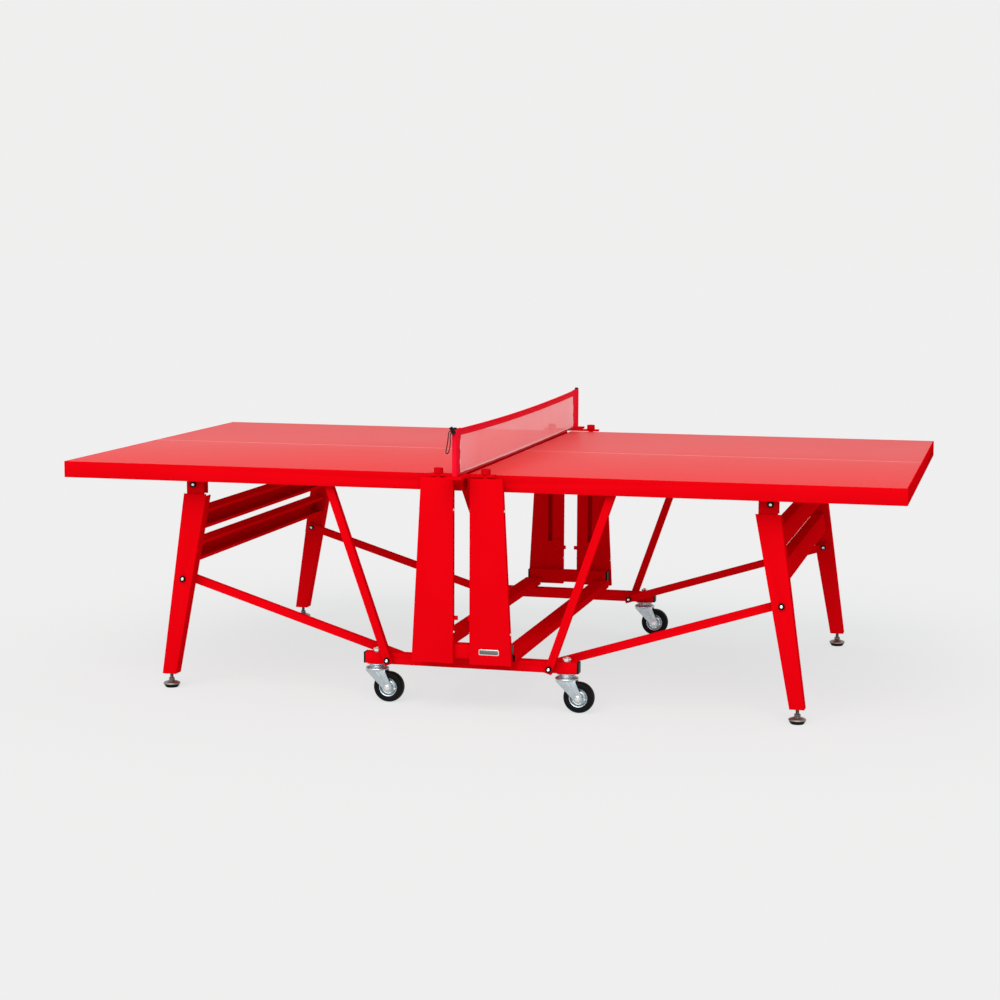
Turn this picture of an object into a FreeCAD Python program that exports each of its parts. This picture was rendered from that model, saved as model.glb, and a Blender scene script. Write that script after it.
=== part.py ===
import FreeCAD, Part
import math
import os
from FreeCAD import Vector

# Folding ping pong table. Millimetres, +Z up, +X along the table, origin on the floor
# under the middle of the net. The near side is -Y, the left half is -X.

# Playing surface
TABLE_LENGTH = 2740.0
TABLE_WIDTH = 1525.0
TABLE_HEIGHT = 760.0
CENTRE_GAP = 14.0            # between the two halves
PANEL_THICKNESS = 18.0
APRON_HEIGHT = 53.0
APRON_SHEET = 3.0
APRON_LIP = 14.0             # turned-in bottom edge of the apron

# Columns beside the table, two on each side
COLUMN_GAP = 54.0
COLUMN_TOP_WIDTH = 104.5
COLUMN_FOOT_WIDTH = 136.0
COLUMN_DEPTH = 20.0
COLUMN_SHEET = 3.0
COLUMN_DROP = 7.5            # column top below the playing surface
SIDE_GAP = 29.0              # table edge to column

# Slot pins that carry the inner end of each half
SLOT_X = 78.0
PIN_DROP = 27.0              # pin axis below the playing surface
PIN_RADIUS = 6.0
SHOE_WIDTH = 16.0
SHOE_HEIGHT = 18.0
SHOE_CLEARANCE = 0.25
COLLAR_RADIUS = 10.5
HEAD_THICKNESS = 5.0
COLLAR_CLEARANCE = 0.4       # collar and head to the slot plate
PIN_BRACKET_LENGTH = 40.0
PIN_BRACKET_DEPTH = 24.0
PIN_BRACKET_DROP = 17.0      # below the pin axis

# Base frame
CASTER_HEIGHT = 127.0
RAIL_SIZE = 36.0
RAIL_LENGTH = 700.0
RAIL_WALL = 2.5
BEAM_HEIGHT = 27.0
BEAM_WIDTH = 57.0
BEAM_X = 134.0
BEAM_WALL = 2.0
TIE_RISE = 14.0              # tie above the rails
TIE_HEIGHT = 44.0
TIE_DEPTH = 40.0
TIE_LENGTH = 300.0
TIE_WALL = 2.0
CAP_THICKNESS = 6.0
PLUG_LENGTH = 14.0

# Struts and stays
TUBE = 25.0
TUBE_WALL = 2.0
TUBE_END = 15.0              # tube beyond its pivot
STRUT_INSET = 23.5           # table edge to the strut's outer face
BUSH_LENGTH = 9.0            # rail to strut
BUSH_RADIUS = 10.0
SLIDE_GAP = 0.4              # between faces that turn or part against each other
BASE_PIVOT_X = 267.0
STRUT_TOP_X = 467.0
STRUT_TOP_RISE = 13.0        # above the apron's bottom edge
BOLT_RADIUS = 6.0
BOLT_HEAD_RADIUS = 9.5
BOLT_HEAD = 7.0
BORE_CLEARANCE = 0.05

# Legs
LEG_INSET = 80.5             # table edge to the leg's outer face
LEG_DEPTH = 44.0
LEG_SHEET = 3.0
LEG_PIVOT_FROM_END = 420.0
LEG_PIVOT_DROP = 20.0        # below the apron
LEG_TOP_DROP = 37.0          # leg channel starts this far below its pivot
LEG_TOP_WIDTH = 78.0
LEG_TOP_INWARD = 6.0         # middle of the leg's top, inward of the pivot
LEG_FOOT_WIDTH = 47.0
LEG_SPLAY = 94.0             # foot outward of the pivot
LEG_LAP = 6.5                # web above the rest of the leg's top, beside the ear
BACK_DROP = 20.0             # leg's back plate ends this far below the stay bolt
STAY_JOINT_DROP = 316.0      # stay bolt below the leg pivot
EAR_SHEET = 4.0
EAR_WIDTH = 61.0
EAR_INWARD = 7.0             # middle of the ears, inward of the pivot
EAR_DROP = 31.0              # ears below the pivot
EAR_INSET = 1.0              # leg web to the outer ear
TONGUE_WIDTH = 40.0
TONGUE_REACH = 150.0         # tongue inside the leg channel
TONGUE_TIE_DROP = 18.0       # its tie block below the channel's top
BAR_HEIGHT = 66.0
BAR_DEPTH = 42.0
BAR_SHEET = 2.5
BAR_LIP = 11.0
BAR_EDGE_GAP = 17.0          # bar web inside the leg's outer edge
BAR_DROPS = (84.0, 190.0)    # top of each bar below the leg pivot
GUSSET_SHEET = 3.0
GUSSET_TAIL = 22.0           # gusset below the stay bolt

# Feet
FOOT_HEIGHT = 48.0
PAD_RADIUS = 28.0
RUBBER_RADIUS = 27.0
RUBBER_FOOT_RADIUS = 21.0
RUBBER_HEIGHT = 13.0
PAD_RIM = 3.0                # upright rim of the steel dome
PAD_HEIGHT = 27.0
NECK_RADIUS = 10.0
STEM_RADIUS = 6.0
STEM_IN_LEG = 40.0
FOOT_PLATE = 6.0
LOCK_NUT = 7.0
LOCK_NUT_ACROSS = 20.0
LOCK_NUT_GAP = 2.0

# Casters
CASTER_X = 315.0
CASTER_TRAIL = 40.0
WHEEL_RADIUS = 50.0
RIM_RADIUS = 35.0
WHEEL_WIDTH = 32.0
HUB_RADIUS = 16.0
FORK_SHEET = 3.0
FORK_GAP = 3.5               # tyre side to fork leg
FORK_TOP_WIDTH = 64.0
FORK_FOOT_WIDTH = 30.0       # round the axle
FORK_JOIN = 1.0              # fork legs into the swivel head
HEAD_RADIUS = 38.0
HEAD_HEIGHT = 14.0
RACE_RADIUS = 25.0
RACE_HEIGHT = 6.0
AXLE_RADIUS = 5.0
AXLE_HEAD_RADIUS = 9.0
AXLE_HEAD = 5.0
KING_HEAD = 5.0              # king bolt's head under the swivel
NUT_ACROSS = 22.0
NUT_HEIGHT = 10.0
STEM_OVER_NUT = 5.0
RIM_SHEET = 3.0
RIM_WEB = 8.0
TYRE_ROUND = 6.0

# Net and its holders
BRACKET_SHEET = 7.0
BRACKET_GAP = 6.0            # bosses between the column tops and the bracket
BRACKET_BOSS_RADIUS = 9.0
BRACKET_HALF_LENGTH = 107.0
BRACKET_TAB_WIDTH = 55.0
BRACKET_REACH = 103.5        # bracket's end beyond the columns
POST_INSET = 26.0            # post axis to the bracket's end
POST_RADIUS = 6.0
POST_CAP_RADIUS = 7.0
POST_CAP = 6.0
NET_TOP = 152.5              # above the playing surface
NET_BOTTOM = 6.5
MESH_THICKNESS = 1.5
BAND_THICKNESS = 4.0
TAPE_HEIGHT = 22.0
HEM_HEIGHT = 6.0
SLEEVE_WIDTH = 68.5
SLEEVE_RADIUS = 8.5
KNOB_X = 76.5
KNOB_RADIUS = 15.0
KNOB_HEIGHT = 17.0
KNOB_STEM_RADIUS = 4.0
KNOB_STEM_LENGTH = 18.0
KNOB_CLEARANCE = 0.1

# Cord lock on the near post, and the cord loop that hangs from it
LOCK_X = -2.0
LOCK_REACH = 18.0            # lock's centre beyond the post axis
LOCK_DROP = 2.5              # lock's centre below the net's top
LOCK_TILT = 31.0             # degrees, top leaning left
LOCK_RADIUS = 7.3
LOCK_LENGTH = 15.0
LOCK_SEAM = 3.5              # barrel's end above the lock's centre
PLUNGER_RADIUS = 6.0
PLUNGER_LENGTH = 9.0
CORD_DIAMETER = 3.0
CORNER_SHARE = 0.45          # of the shorter run, taken by the arc at a corner
CORD_ROUTE = [(-9.8, -907.0, 908.9), (-13.4, -907.6, 905.5), (-14.6, -908.4, 899.5),
              (-15.8, -908.7, 885.0), (-19.0, -908.3, 863.5), (-23.2, -907.8, 846.0),
              (-22.4, -907.6, 838.6), (-16.4, -907.4, 838.8), (-12.0, -907.2, 850.5),
              (-8.8, -907.3, 871.0), (-9.6, -907.4, 889.5), (-9.0, -907.2, 897.6),
              (-6.7, -907.0, 903.3)]

# Small fittings
SCREW_RADIUS = 2.5
SCREW_HEAD_RADIUS = 5.0
SCREW_TIP_RADIUS = 3.0           # flat of the button head
SCREW_HEAD = 3.0
SCREW_NUT_GAP = 0.6              # nut to the sloping flange
SCREW_RISES = (100.0, 489.0)     # above the column foot
LATCH_SHEET = 2.5
LATCH_HEIGHT = 50.0
LATCH_RISE = 17.0                # boss and hole above the plate's foot
LATCH_BOSS_RADIUS = 7.0
LATCH_HOLE_RADIUS = 3.5
LATCH_EDGE = 8.0                 # hole to the plate's edge
BADGE = (65.0, 1.0, 18.0)
BADGE_EDGE = 8.5                 # badge to the column's top corner, along X
BADGE_RISE = 32.0                # badge above the column foot

# Places worked out from the sizes above
half_length = TABLE_LENGTH / 2
half_width = TABLE_WIDTH / 2
panel_low = TABLE_HEIGHT - PANEL_THICKNESS
apron_low = TABLE_HEIGHT - APRON_HEIGHT
pin_z = TABLE_HEIGHT - PIN_DROP
rail_low = CASTER_HEIGHT
rail_top = rail_low + RAIL_SIZE
beam_top = rail_top + BEAM_HEIGHT
column_in = half_width + SIDE_GAP
column_out = column_in + COLUMN_DEPTH
column_mid = (column_in + column_out) / 2
column_top = TABLE_HEIGHT - COLUMN_DROP
strut_out = half_width - STRUT_INSET
strut_in = strut_out - TUBE
rail_out = strut_in - BUSH_LENGTH - SLIDE_GAP
rail_y = rail_out - RAIL_SIZE / 2
rail_in = rail_out - RAIL_SIZE
leg_out = half_width - LEG_INSET
leg_in = leg_out - LEG_DEPTH
leg_y = (leg_out + leg_in) / 2
gusset_in = leg_in - GUSSET_SHEET
stay_out = gusset_in - SLIDE_GAP
stay_in = stay_out - TUBE
leg_pivot = (half_length - LEG_PIVOT_FROM_END, apron_low - LEG_PIVOT_DROP)
leg_top = leg_pivot[1] - LEG_TOP_DROP
foot_x = leg_pivot[0] + LEG_SPLAY
base_pivot = (BASE_PIVOT_X, rail_low + RAIL_SIZE / 2)
strut_top = (STRUT_TOP_X, apron_low + STRUT_TOP_RISE)
tie_low = rail_top + TIE_RISE
tie_in = column_in - TIE_DEPTH
bracket_low = column_top + BRACKET_GAP
bracket_top = bracket_low + BRACKET_SHEET
bracket_end = column_out + BRACKET_REACH
post_y = bracket_end - POST_INSET
net_low = TABLE_HEIGHT + NET_BOTTOM
net_top = TABLE_HEIGHT + NET_TOP
lock_centre = Vector(LOCK_X, -post_y - LOCK_REACH, net_top - LOCK_DROP)
bore = BOLT_RADIUS + BORE_CLEARANCE

SIDES = (("near", -1), ("far", 1))
HALVES = (("left", -1), ("right", 1))


# Shapes, given for the far right quarter and turned over for the others

def block(x, y, z):
    return Part.makeBox(x[1] - x[0], y[1] - y[0], z[1] - z[0], Vector(x[0], y[0], z[0]))


def rod(radius, y, x, z):
    """Cylinder along Y between two distances from the middle."""
    return Part.makeCylinder(radius, y[1] - y[0], Vector(x, y[0], z), Vector(0, 1, 0))


def post(radius, x, y, z):
    return Part.makeCylinder(radius, z[1] - z[0], Vector(x, y, z[0]))


def plate(outline, y):
    """Flat plate with an outline in X and Z, between two distances along Y."""
    points = [Vector(x, y[0], z) for x, z in outline]
    face = Part.Face(Part.makePolygon(points + points[:1]))
    return face.extrude(Vector(0, y[1] - y[0], 0))


def hexagon(across, height, x, y, z):
    corner = across / math.sqrt(3)
    points = [Vector(x + corner * math.cos(math.radians(60 * i)),
                     y + corner * math.sin(math.radians(60 * i)), z) for i in range(7)]
    return Part.Face(Part.makePolygon(points)).extrude(Vector(0, 0, height))


def placed(shape, half, side):
    """The quarter's shape on the given half (-1 left) and side (-1 near)."""
    if half < 0:
        shape = shape.mirror(Vector(0, 0, 0), Vector(1, 0, 0))
    if side < 0:
        shape = shape.mirror(Vector(0, 0, 0), Vector(0, 1, 0))
    return shape


def quarters(make):
    return [placed(make(), half, side) for _, half in HALVES for _, side in SIDES]


def both_sides(make, half):
    return [placed(make(), half, side) for _, side in SIDES]


def save(node, solids):
    """One node: a list of separate solids."""
    kept = [solid for shape in solids for solid in shape.Solids]
    shape = kept[0] if len(kept) == 1 else Part.makeCompound(kept)
    shape.exportStep(os.path.join("parts", node + ".step"))
    faults = [solid for solid in kept if not solid.isValid() or solid.Volume <= 0]
    print(node, len(kept), "solids", "FAULT" if faults else "ok")


def tube_between(start, end, y, holes):
    """Square tube from pivot to pivot in an XZ plane, with a bolt hole at each."""
    run = math.hypot(end[0] - start[0], end[1] - start[1])
    length = run + 2 * TUBE_END
    hollow = TUBE / 2 - TUBE_WALL
    tube = block((-TUBE_END, length - TUBE_END), y, (-TUBE / 2, TUBE / 2))
    tube = tube.cut(block((-TUBE_END, length - TUBE_END),
                          (y[0] + TUBE_WALL, y[1] - TUBE_WALL), (-hollow, hollow)))
    for along in (0.0, run):
        tube = tube.cut(rod(holes, y, along, 0.0))
    tilt = math.degrees(math.atan2(end[1] - start[1], end[0] - start[0]))
    tube.rotate(Vector(0, 0, 0), Vector(0, 1, 0), -tilt)
    tube.translate(Vector(start[0], 0, start[1]))
    return tube


# Fold linkage: where the slot pin stands when a half is upright

def slot_travel():
    reach = math.hypot(strut_top[0] - base_pivot[0], strut_top[1] - base_pivot[1])
    from_pin = (strut_top[0] - SLOT_X, strut_top[1] - pin_z)
    across = SLOT_X - from_pin[1] - base_pivot[0]
    upright_z = base_pivot[1] + math.sqrt(reach ** 2 - across ** 2) - from_pin[0]
    return pin_z - upright_z


# Table halves

def panel():
    inner = CENTRE_GAP / 2 + APRON_SHEET
    side = half_width - APRON_SHEET
    return block((inner, half_length - APRON_SHEET), (-side, side), (panel_low, TABLE_HEIGHT))


def apron():
    """Two long sides with turned-in lips, and two ends between them."""
    inner = CENTRE_GAP / 2
    sheet = APRON_SHEET
    walls = []
    for _, side in SIDES:
        wall = block((inner, half_length), (half_width - sheet, half_width), (apron_low, TABLE_HEIGHT))
        lip = block((inner + sheet, half_length - sheet),
                    (half_width - sheet - APRON_LIP, half_width - sheet), (apron_low, apron_low + sheet))
        wall = wall.fuse(lip).removeSplitter()
        wall = wall.cut(rod(PIN_RADIUS + BORE_CLEARANCE, (half_width - sheet, half_width), SLOT_X, pin_z))
        walls.append(placed(wall, 1, side))
    across = half_width - sheet
    lip_across = across - APRON_LIP
    for x, inward in ((inner, 1), (half_length - sheet, -1)):
        end = block((x, x + sheet), (-across, across), (apron_low, TABLE_HEIGHT))
        lip_x = (x + sheet, x + sheet + APRON_LIP) if inward > 0 else (x - APRON_LIP, x)
        walls.append(end.fuse(block(lip_x, (-lip_across, lip_across),
                                    (apron_low, apron_low + sheet))).removeSplitter())
    return walls


def pin_bracket():
    y = (half_width - APRON_SHEET - PIN_BRACKET_DEPTH, half_width - APRON_SHEET)
    half = PIN_BRACKET_LENGTH / 2
    body = block((SLOT_X - half, SLOT_X + half), y, (pin_z - PIN_BRACKET_DROP, panel_low))
    return body.cut(rod(PIN_RADIUS + BORE_CLEARANCE, y, SLOT_X, pin_z))


def ear_faces():
    """Outer and inner ear: distances along Y of their faces."""
    outer = leg_out - LEG_SHEET - EAR_INSET
    inner = leg_in + LEG_SHEET + EAR_INSET
    return inner, outer


def leg_bracket():
    """Base under the panel with two ears that the leg's tongue turns between."""
    x, z = leg_pivot
    inner, outer = ear_faces()
    half = EAR_WIDTH / 2
    along = (x - EAR_INWARD - half, x - EAR_INWARD + half)
    body = block(along, (inner, outer), (panel_low - EAR_SHEET, panel_low))
    for y in ((inner, inner + EAR_SHEET), (outer - EAR_SHEET, outer)):
        body = body.fuse(block(along, y, (z - EAR_DROP, panel_low - EAR_SHEET)))
        body = body.cut(rod(BOLT_RADIUS, y, x, z))
    return body.removeSplitter()


def strut_block():
    x, z = strut_top
    y = (strut_out + SLIDE_GAP, half_width - APRON_SHEET)
    half = TUBE / 2
    body = block((x - half, x + half), y, (apron_low + APRON_SHEET, panel_low))
    return body.cut(rod(BOLT_RADIUS, y, x, z))


def leg_hinge_bolt():
    inner, outer = ear_faces()
    x, z = leg_pivot
    bolt = rod(BOLT_RADIUS, (inner - BOLT_HEAD, outer + BOLT_HEAD), x, z)
    for y in ((inner - BOLT_HEAD, inner), (outer, outer + BOLT_HEAD)):
        bolt = bolt.fuse(rod(BOLT_HEAD_RADIUS, y, x, z))
    return bolt.removeSplitter()


def strut_top_bolt():
    x, z = strut_top
    nut = (strut_in - SLIDE_GAP - BOLT_HEAD, strut_in - SLIDE_GAP)
    shank = rod(BOLT_RADIUS, (nut[0], half_width - APRON_SHEET), x, z)
    return shank.fuse(rod(BOLT_HEAD_RADIUS, nut, x, z)).removeSplitter()


def slot_pin():
    """Shaft in the half's bracket, collar, shoe in the slot and head inside the column."""
    shaft = rod(PIN_RADIUS, (half_width - APRON_SHEET - PIN_BRACKET_DEPTH, column_in), SLOT_X, pin_z)
    plate_out = column_in + COLUMN_SHEET
    shoe_y = (column_in - COLLAR_CLEARANCE, plate_out + COLLAR_CLEARANCE)
    shoe = block((SLOT_X - SHOE_WIDTH / 2, SLOT_X + SHOE_WIDTH / 2), shoe_y,
                 (pin_z - SHOE_HEIGHT / 2, pin_z + SHOE_HEIGHT / 2))
    collar = rod(COLLAR_RADIUS, (half_width + SLIDE_GAP, shoe_y[0]), SLOT_X, pin_z)
    head = rod(COLLAR_RADIUS, (shoe_y[1], shoe_y[1] + HEAD_THICKNESS), SLOT_X, pin_z)
    return shaft.fuse([collar, shoe, head]).removeSplitter()


# Columns

def column_outline(inset, low, high):
    """Tapered outline: plumb at the gap, sloping on the outside."""
    inner = COLUMN_GAP / 2
    rise = column_top - rail_top
    slope = (COLUMN_FOOT_WIDTH - COLUMN_TOP_WIDTH) / rise

    def outer(z):
        return inner + COLUMN_TOP_WIDTH + (column_top - z) * slope - inset

    return [(inner + inset, low), (outer(low), low), (outer(high), high), (inner + inset, high)]


def screw_places():
    """Height of each side screw, and where its head's lower edge meets the sloping flange."""
    return [(rail_top + rise, column_outline(0.0, rail_top + rise - SCREW_HEAD_RADIUS, column_top)[1][0])
            for rise in SCREW_RISES]


def column_shell():
    """Folded sheet: web outside, a flange on each edge, closed at the top."""
    sheet = COLUMN_SHEET
    shell = plate(column_outline(0.0, rail_top, column_top), (column_in, column_out))
    shell = shell.cut(plate(column_outline(sheet, rail_top, column_top - sheet),
                            (column_in, column_out - sheet)))
    shell = shell.cut(post(KNOB_STEM_RADIUS + KNOB_CLEARANCE, KNOB_X, column_mid,
                           (column_top - sheet, column_top)))
    for z, outer in screw_places():
        hole = Part.makeCylinder(SCREW_RADIUS, outer, Vector(0, column_mid, z), Vector(1, 0, 0))
        shell = shell.cut(hole)
    return shell


def slot_plate():
    sheet = COLUMN_SHEET
    y = (column_in, column_in + sheet)
    body = plate(column_outline(sheet, rail_top, column_top - sheet), y)
    half = SHOE_WIDTH / 2 + SHOE_CLEARANCE
    low = pin_z - slot_travel() - SHOE_HEIGHT / 2 - SHOE_CLEARANCE
    high = pin_z + SHOE_HEIGHT / 2 + SHOE_CLEARANCE
    return body.cut(block((SLOT_X - half, SLOT_X + half), y, (low, high)))


def latch_plate():
    """Stop plate beside the slot's lower end, with a round boss and a tab in the gap."""
    low = pin_z - slot_travel() - LATCH_HEIGHT
    edge = COLUMN_GAP / 2 + COLUMN_SHEET
    x = (edge, SLOT_X - COLLAR_RADIUS - SHOE_CLEARANCE - COLUMN_SHEET)
    y = (column_in - LATCH_SHEET, column_in)
    body = block(x, y, (low, low + LATCH_HEIGHT))
    tab = block((edge - 2 * LATCH_BOSS_RADIUS, edge), y,
                (low + LATCH_RISE - LATCH_BOSS_RADIUS, low + LATCH_RISE + LATCH_BOSS_RADIUS))
    hole = rod(LATCH_HOLE_RADIUS, y, x[1] - LATCH_EDGE, low + LATCH_RISE)
    return body.fuse(tab).removeSplitter().cut(hole)


def column_screw(z, face, outward):
    """Button screw through a flange, with its nut inside."""
    step = 1 if outward else -1
    start = Vector(face, column_mid, z)
    head = Part.makeCone(SCREW_HEAD_RADIUS, SCREW_TIP_RADIUS, SCREW_HEAD, start, Vector(step, 0, 0))
    shank = Part.makeCylinder(SCREW_RADIUS, COLUMN_SHEET + SCREW_HEAD, start, Vector(-step, 0, 0))
    nut_start = Vector(face - step * (COLUMN_SHEET + SCREW_NUT_GAP), column_mid, z)
    nut = Part.makeCylinder(SCREW_HEAD_RADIUS, SCREW_HEAD, nut_start, Vector(-step, 0, 0))
    return head.fuse([shank, nut]).removeSplitter()


def column_screws():
    screws = []
    for z, outer in screw_places():
        screws += quarters(lambda: column_screw(z, COLUMN_GAP / 2, False))
        screws += quarters(lambda: column_screw(z, outer, True))
    return screws


# Base frame

def rect_tube(x, y, z, wall, along):
    inner = [(x[0] + wall, x[1] - wall), (y[0] + wall, y[1] - wall), (z[0] + wall, z[1] - wall)]
    inner[along] = (x, y, z)[along]
    return block(x, y, z).cut(block(*inner))


def caster_rail():
    half = RAIL_LENGTH / 2
    rail = rect_tube((-half, half), (rail_in, rail_out), (rail_low, rail_top), RAIL_WALL, 0)
    for _, side in HALVES:
        rail = rail.cut(rod(BOLT_RADIUS, (rail_in, rail_out), side * base_pivot[0], base_pivot[1]))
        rail = rail.cut(post(BOLT_RADIUS, side * CASTER_X, rail_y, (rail_low, rail_top)))
    return rail


def cross_beam():
    half = BEAM_WIDTH / 2
    return rect_tube((BEAM_X - half, BEAM_X + half), (-tie_in, tie_in),
                     (rail_top, beam_top), BEAM_WALL, 1)


def column_tie():
    half = TIE_LENGTH / 2
    return rect_tube((-half, half), (tie_in, column_in), (tie_low, tie_low + TIE_HEIGHT), TIE_WALL, 0)


def end_cap(x, y, z, wall):
    """Moulded cap on a tube end at x, with a plug inside the tube."""
    cap = block((x, x + CAP_THICKNESS), y, z)
    plug = block((x - PLUG_LENGTH, x), (y[0] + wall, y[1] - wall), (z[0] + wall, z[1] - wall))
    return cap.fuse(plug).removeSplitter()


def end_caps():
    rail = lambda: end_cap(RAIL_LENGTH / 2, (rail_in, rail_out), (rail_low, rail_top), RAIL_WALL)
    tie = lambda: end_cap(TIE_LENGTH / 2, (tie_in, column_in), (tie_low, tie_low + TIE_HEIGHT),
                          TIE_WALL)
    return quarters(rail) + quarters(tie)


def base_bolt():
    """Pivot bolt through rail: bush for the strut outside, stay and nut inside."""
    x, z = base_pivot
    nut = (stay_in - SLIDE_GAP - BOLT_HEAD, stay_in - SLIDE_GAP)
    shank = rod(BOLT_RADIUS, (nut[0], rail_out + BUSH_LENGTH), x, z)
    outer_bush = rod(BUSH_RADIUS, (rail_out, rail_out + BUSH_LENGTH), x, z)
    inner_bush = rod(BUSH_RADIUS, (stay_out + SLIDE_GAP, rail_in), x, z)
    head = rod(BOLT_HEAD_RADIUS, nut, x, z)
    return shank.fuse([outer_bush, inner_bush, head]).removeSplitter()


def caster_stem():
    """King bolt: head under the swivel, race under the rail, nut on top of the rail."""
    swivel_low = CASTER_HEIGHT - RACE_HEIGHT - HEAD_HEIGHT
    head_low = swivel_low - KING_HEAD
    shank = post(BOLT_RADIUS, CASTER_X, rail_y, (head_low, rail_top + NUT_HEIGHT + STEM_OVER_NUT))
    race = post(RACE_RADIUS, CASTER_X, rail_y, (rail_low - RACE_HEIGHT + SLIDE_GAP, rail_low))
    head = post(BOLT_HEAD_RADIUS, CASTER_X, rail_y, (head_low, swivel_low - SLIDE_GAP))
    nut = hexagon(NUT_ACROSS, NUT_HEIGHT, CASTER_X, rail_y, rail_top)
    return shank.fuse([race, head, nut]).removeSplitter()


def badge():
    length, depth, height = BADGE
    x = COLUMN_GAP / 2 + COLUMN_TOP_WIDTH - length / 2 - BADGE_EDGE
    z = rail_top + BADGE_RISE
    return block((x - length / 2, x + length / 2), (-column_out - depth, -column_out), (z, z + height))


# Struts and stays

def strut():
    """Tube with the outer pivot bolt's head, which stays with the tube."""
    y = (strut_in, strut_out)
    tube = tube_between(base_pivot, strut_top, y, bore)
    x, z = base_pivot
    head = rod(BOLT_HEAD_RADIUS, (strut_out, strut_out + BOLT_HEAD), x, z)
    shank = rod(BOLT_RADIUS, (strut_in, strut_out), x, z)
    return [tube, head.fuse(shank).removeSplitter()]


def stay_joint():
    """Bolt place on the leg's centre line."""
    z = leg_pivot[1] - STAY_JOINT_DROP
    return (sum(leg_edges(z, 0.0)) / 2, z)


def stay():
    """Tube with the inner nut of the leg bolt, which stays with the tube."""
    y = (stay_in, stay_out)
    tube = tube_between(base_pivot, stay_joint(), y, bore)
    x, z = stay_joint()
    nut = rod(BOLT_HEAD_RADIUS, (stay_in - BOLT_HEAD, stay_in), x, z)
    shank = rod(BOLT_RADIUS, y, x, z)
    return [tube, nut.fuse(shank).removeSplitter()]


# Legs

def leg_edges(z, inset):
    share = (leg_top - z) / (leg_top - FOOT_HEIGHT)
    middle = leg_pivot[0] - LEG_TOP_INWARD + (LEG_SPLAY + LEG_TOP_INWARD) * share
    half = (LEG_TOP_WIDTH + (LEG_FOOT_WIDTH - LEG_TOP_WIDTH) * share) / 2 - inset
    return middle - half, middle + half


def leg_outline(inset, low, high):
    bottom = leg_edges(low, inset)
    top = leg_edges(high, inset)
    return [(bottom[0], low), (bottom[1], low), (top[1], high), (top[0], high)]


def leg():
    """Tapered channel, web outside, with a foot plate, a back plate below and the hinge tongue."""
    sheet = LEG_SHEET
    inside = (leg_in, leg_out - sheet)
    shell = plate(leg_outline(0.0, FOOT_HEIGHT, leg_top), (leg_in, leg_out))
    shell = shell.cut(plate(leg_outline(sheet, FOOT_HEIGHT, leg_top), inside))
    shell = shell.fuse([plate(leg_outline(sheet, FOOT_HEIGHT, FOOT_HEIGHT + FOOT_PLATE), inside),
                        plate(leg_outline(0.0, leg_top, leg_top + LEG_LAP), (leg_out - sheet, leg_out)),
                        plate(leg_outline(sheet, FOOT_HEIGHT, stay_joint()[1] - BACK_DROP),
                              (leg_in, leg_in + sheet))]).removeSplitter()
    stem_hole = post(STEM_RADIUS + BORE_CLEARANCE, foot_x, leg_y, (FOOT_HEIGHT, FOOT_HEIGHT + FOOT_PLATE))
    shell = shell.cut(stem_hole)
    x, z = stay_joint()
    return [shell.cut(rod(BOLT_RADIUS, (leg_out - sheet, leg_out), x, z)), tongue()]


def tongue():
    """Bar inside the channel, rounded at the hinge, with a block that ties it to the web."""
    x, z = leg_pivot
    inner, outer = ear_faces()
    y = (inner + EAR_SHEET + SLIDE_GAP, outer - EAR_SHEET - SLIDE_GAP)
    half = TONGUE_WIDTH / 2
    low = leg_top - TONGUE_REACH
    lean = LEG_SPLAY * TONGUE_REACH / (leg_top - FOOT_HEIGHT)
    bar = plate([(x - half + lean, low), (x + half + lean, low), (x + half, leg_top), (x + half, z),
                 (x - half, z), (x - half, leg_top)], y)
    bar = bar.fuse(rod(half, y, x, z)).removeSplitter()
    tie_z = (low, leg_top - TONGUE_TIE_DROP)
    tie = block((x - half / 2 + lean / 2, x + half / 2 + lean / 2), (y[1], leg_out - LEG_SHEET), tie_z)
    return bar.fuse(tie).removeSplitter().cut(rod(bore, y, x, z))


def crossbar(drop):
    """Lipped channel between the legs, web outside, leaning with the leg's outer edge."""
    run = leg_edges(FOOT_HEIGHT, 0.0)[1] - leg_edges(leg_top, 0.0)[1]
    lean = math.atan2(run, leg_top - FOOT_HEIGHT)
    y = (-gusset_in, gusset_in)
    sheet = BAR_SHEET
    bar = block((-BAR_DEPTH, 0), y, (-BAR_HEIGHT, 0))
    bar = bar.cut(block((-BAR_DEPTH + sheet, -sheet), y, (sheet - BAR_HEIGHT, -sheet)))
    bar = bar.cut(block((-BAR_DEPTH, sheet - BAR_DEPTH), y, (BAR_LIP - BAR_HEIGHT, -BAR_LIP)))
    bar.rotate(Vector(0, 0, 0), Vector(0, 1, 0), -math.degrees(lean))
    z = leg_pivot[1] - drop
    bar.translate(Vector(leg_edges(z, BAR_EDGE_GAP)[1], 0, z))
    return bar


def gusset():
    """Plate that closes the channel behind the bars and carries the stay bolt."""
    x, z = stay_joint()
    outline = leg_outline(0.0, z - GUSSET_TAIL, leg_pivot[1] - BAR_DROPS[0])
    return plate(outline, (gusset_in, leg_in)).cut(rod(BOLT_RADIUS, (gusset_in, leg_in), x, z))


def leg_bolt():
    x, z = stay_joint()
    head = rod(BOLT_HEAD_RADIUS, (leg_out, leg_out + BOLT_HEAD), x, z)
    return head.fuse(rod(BOLT_RADIUS, (gusset_in, leg_out), x, z)).removeSplitter()


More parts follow.
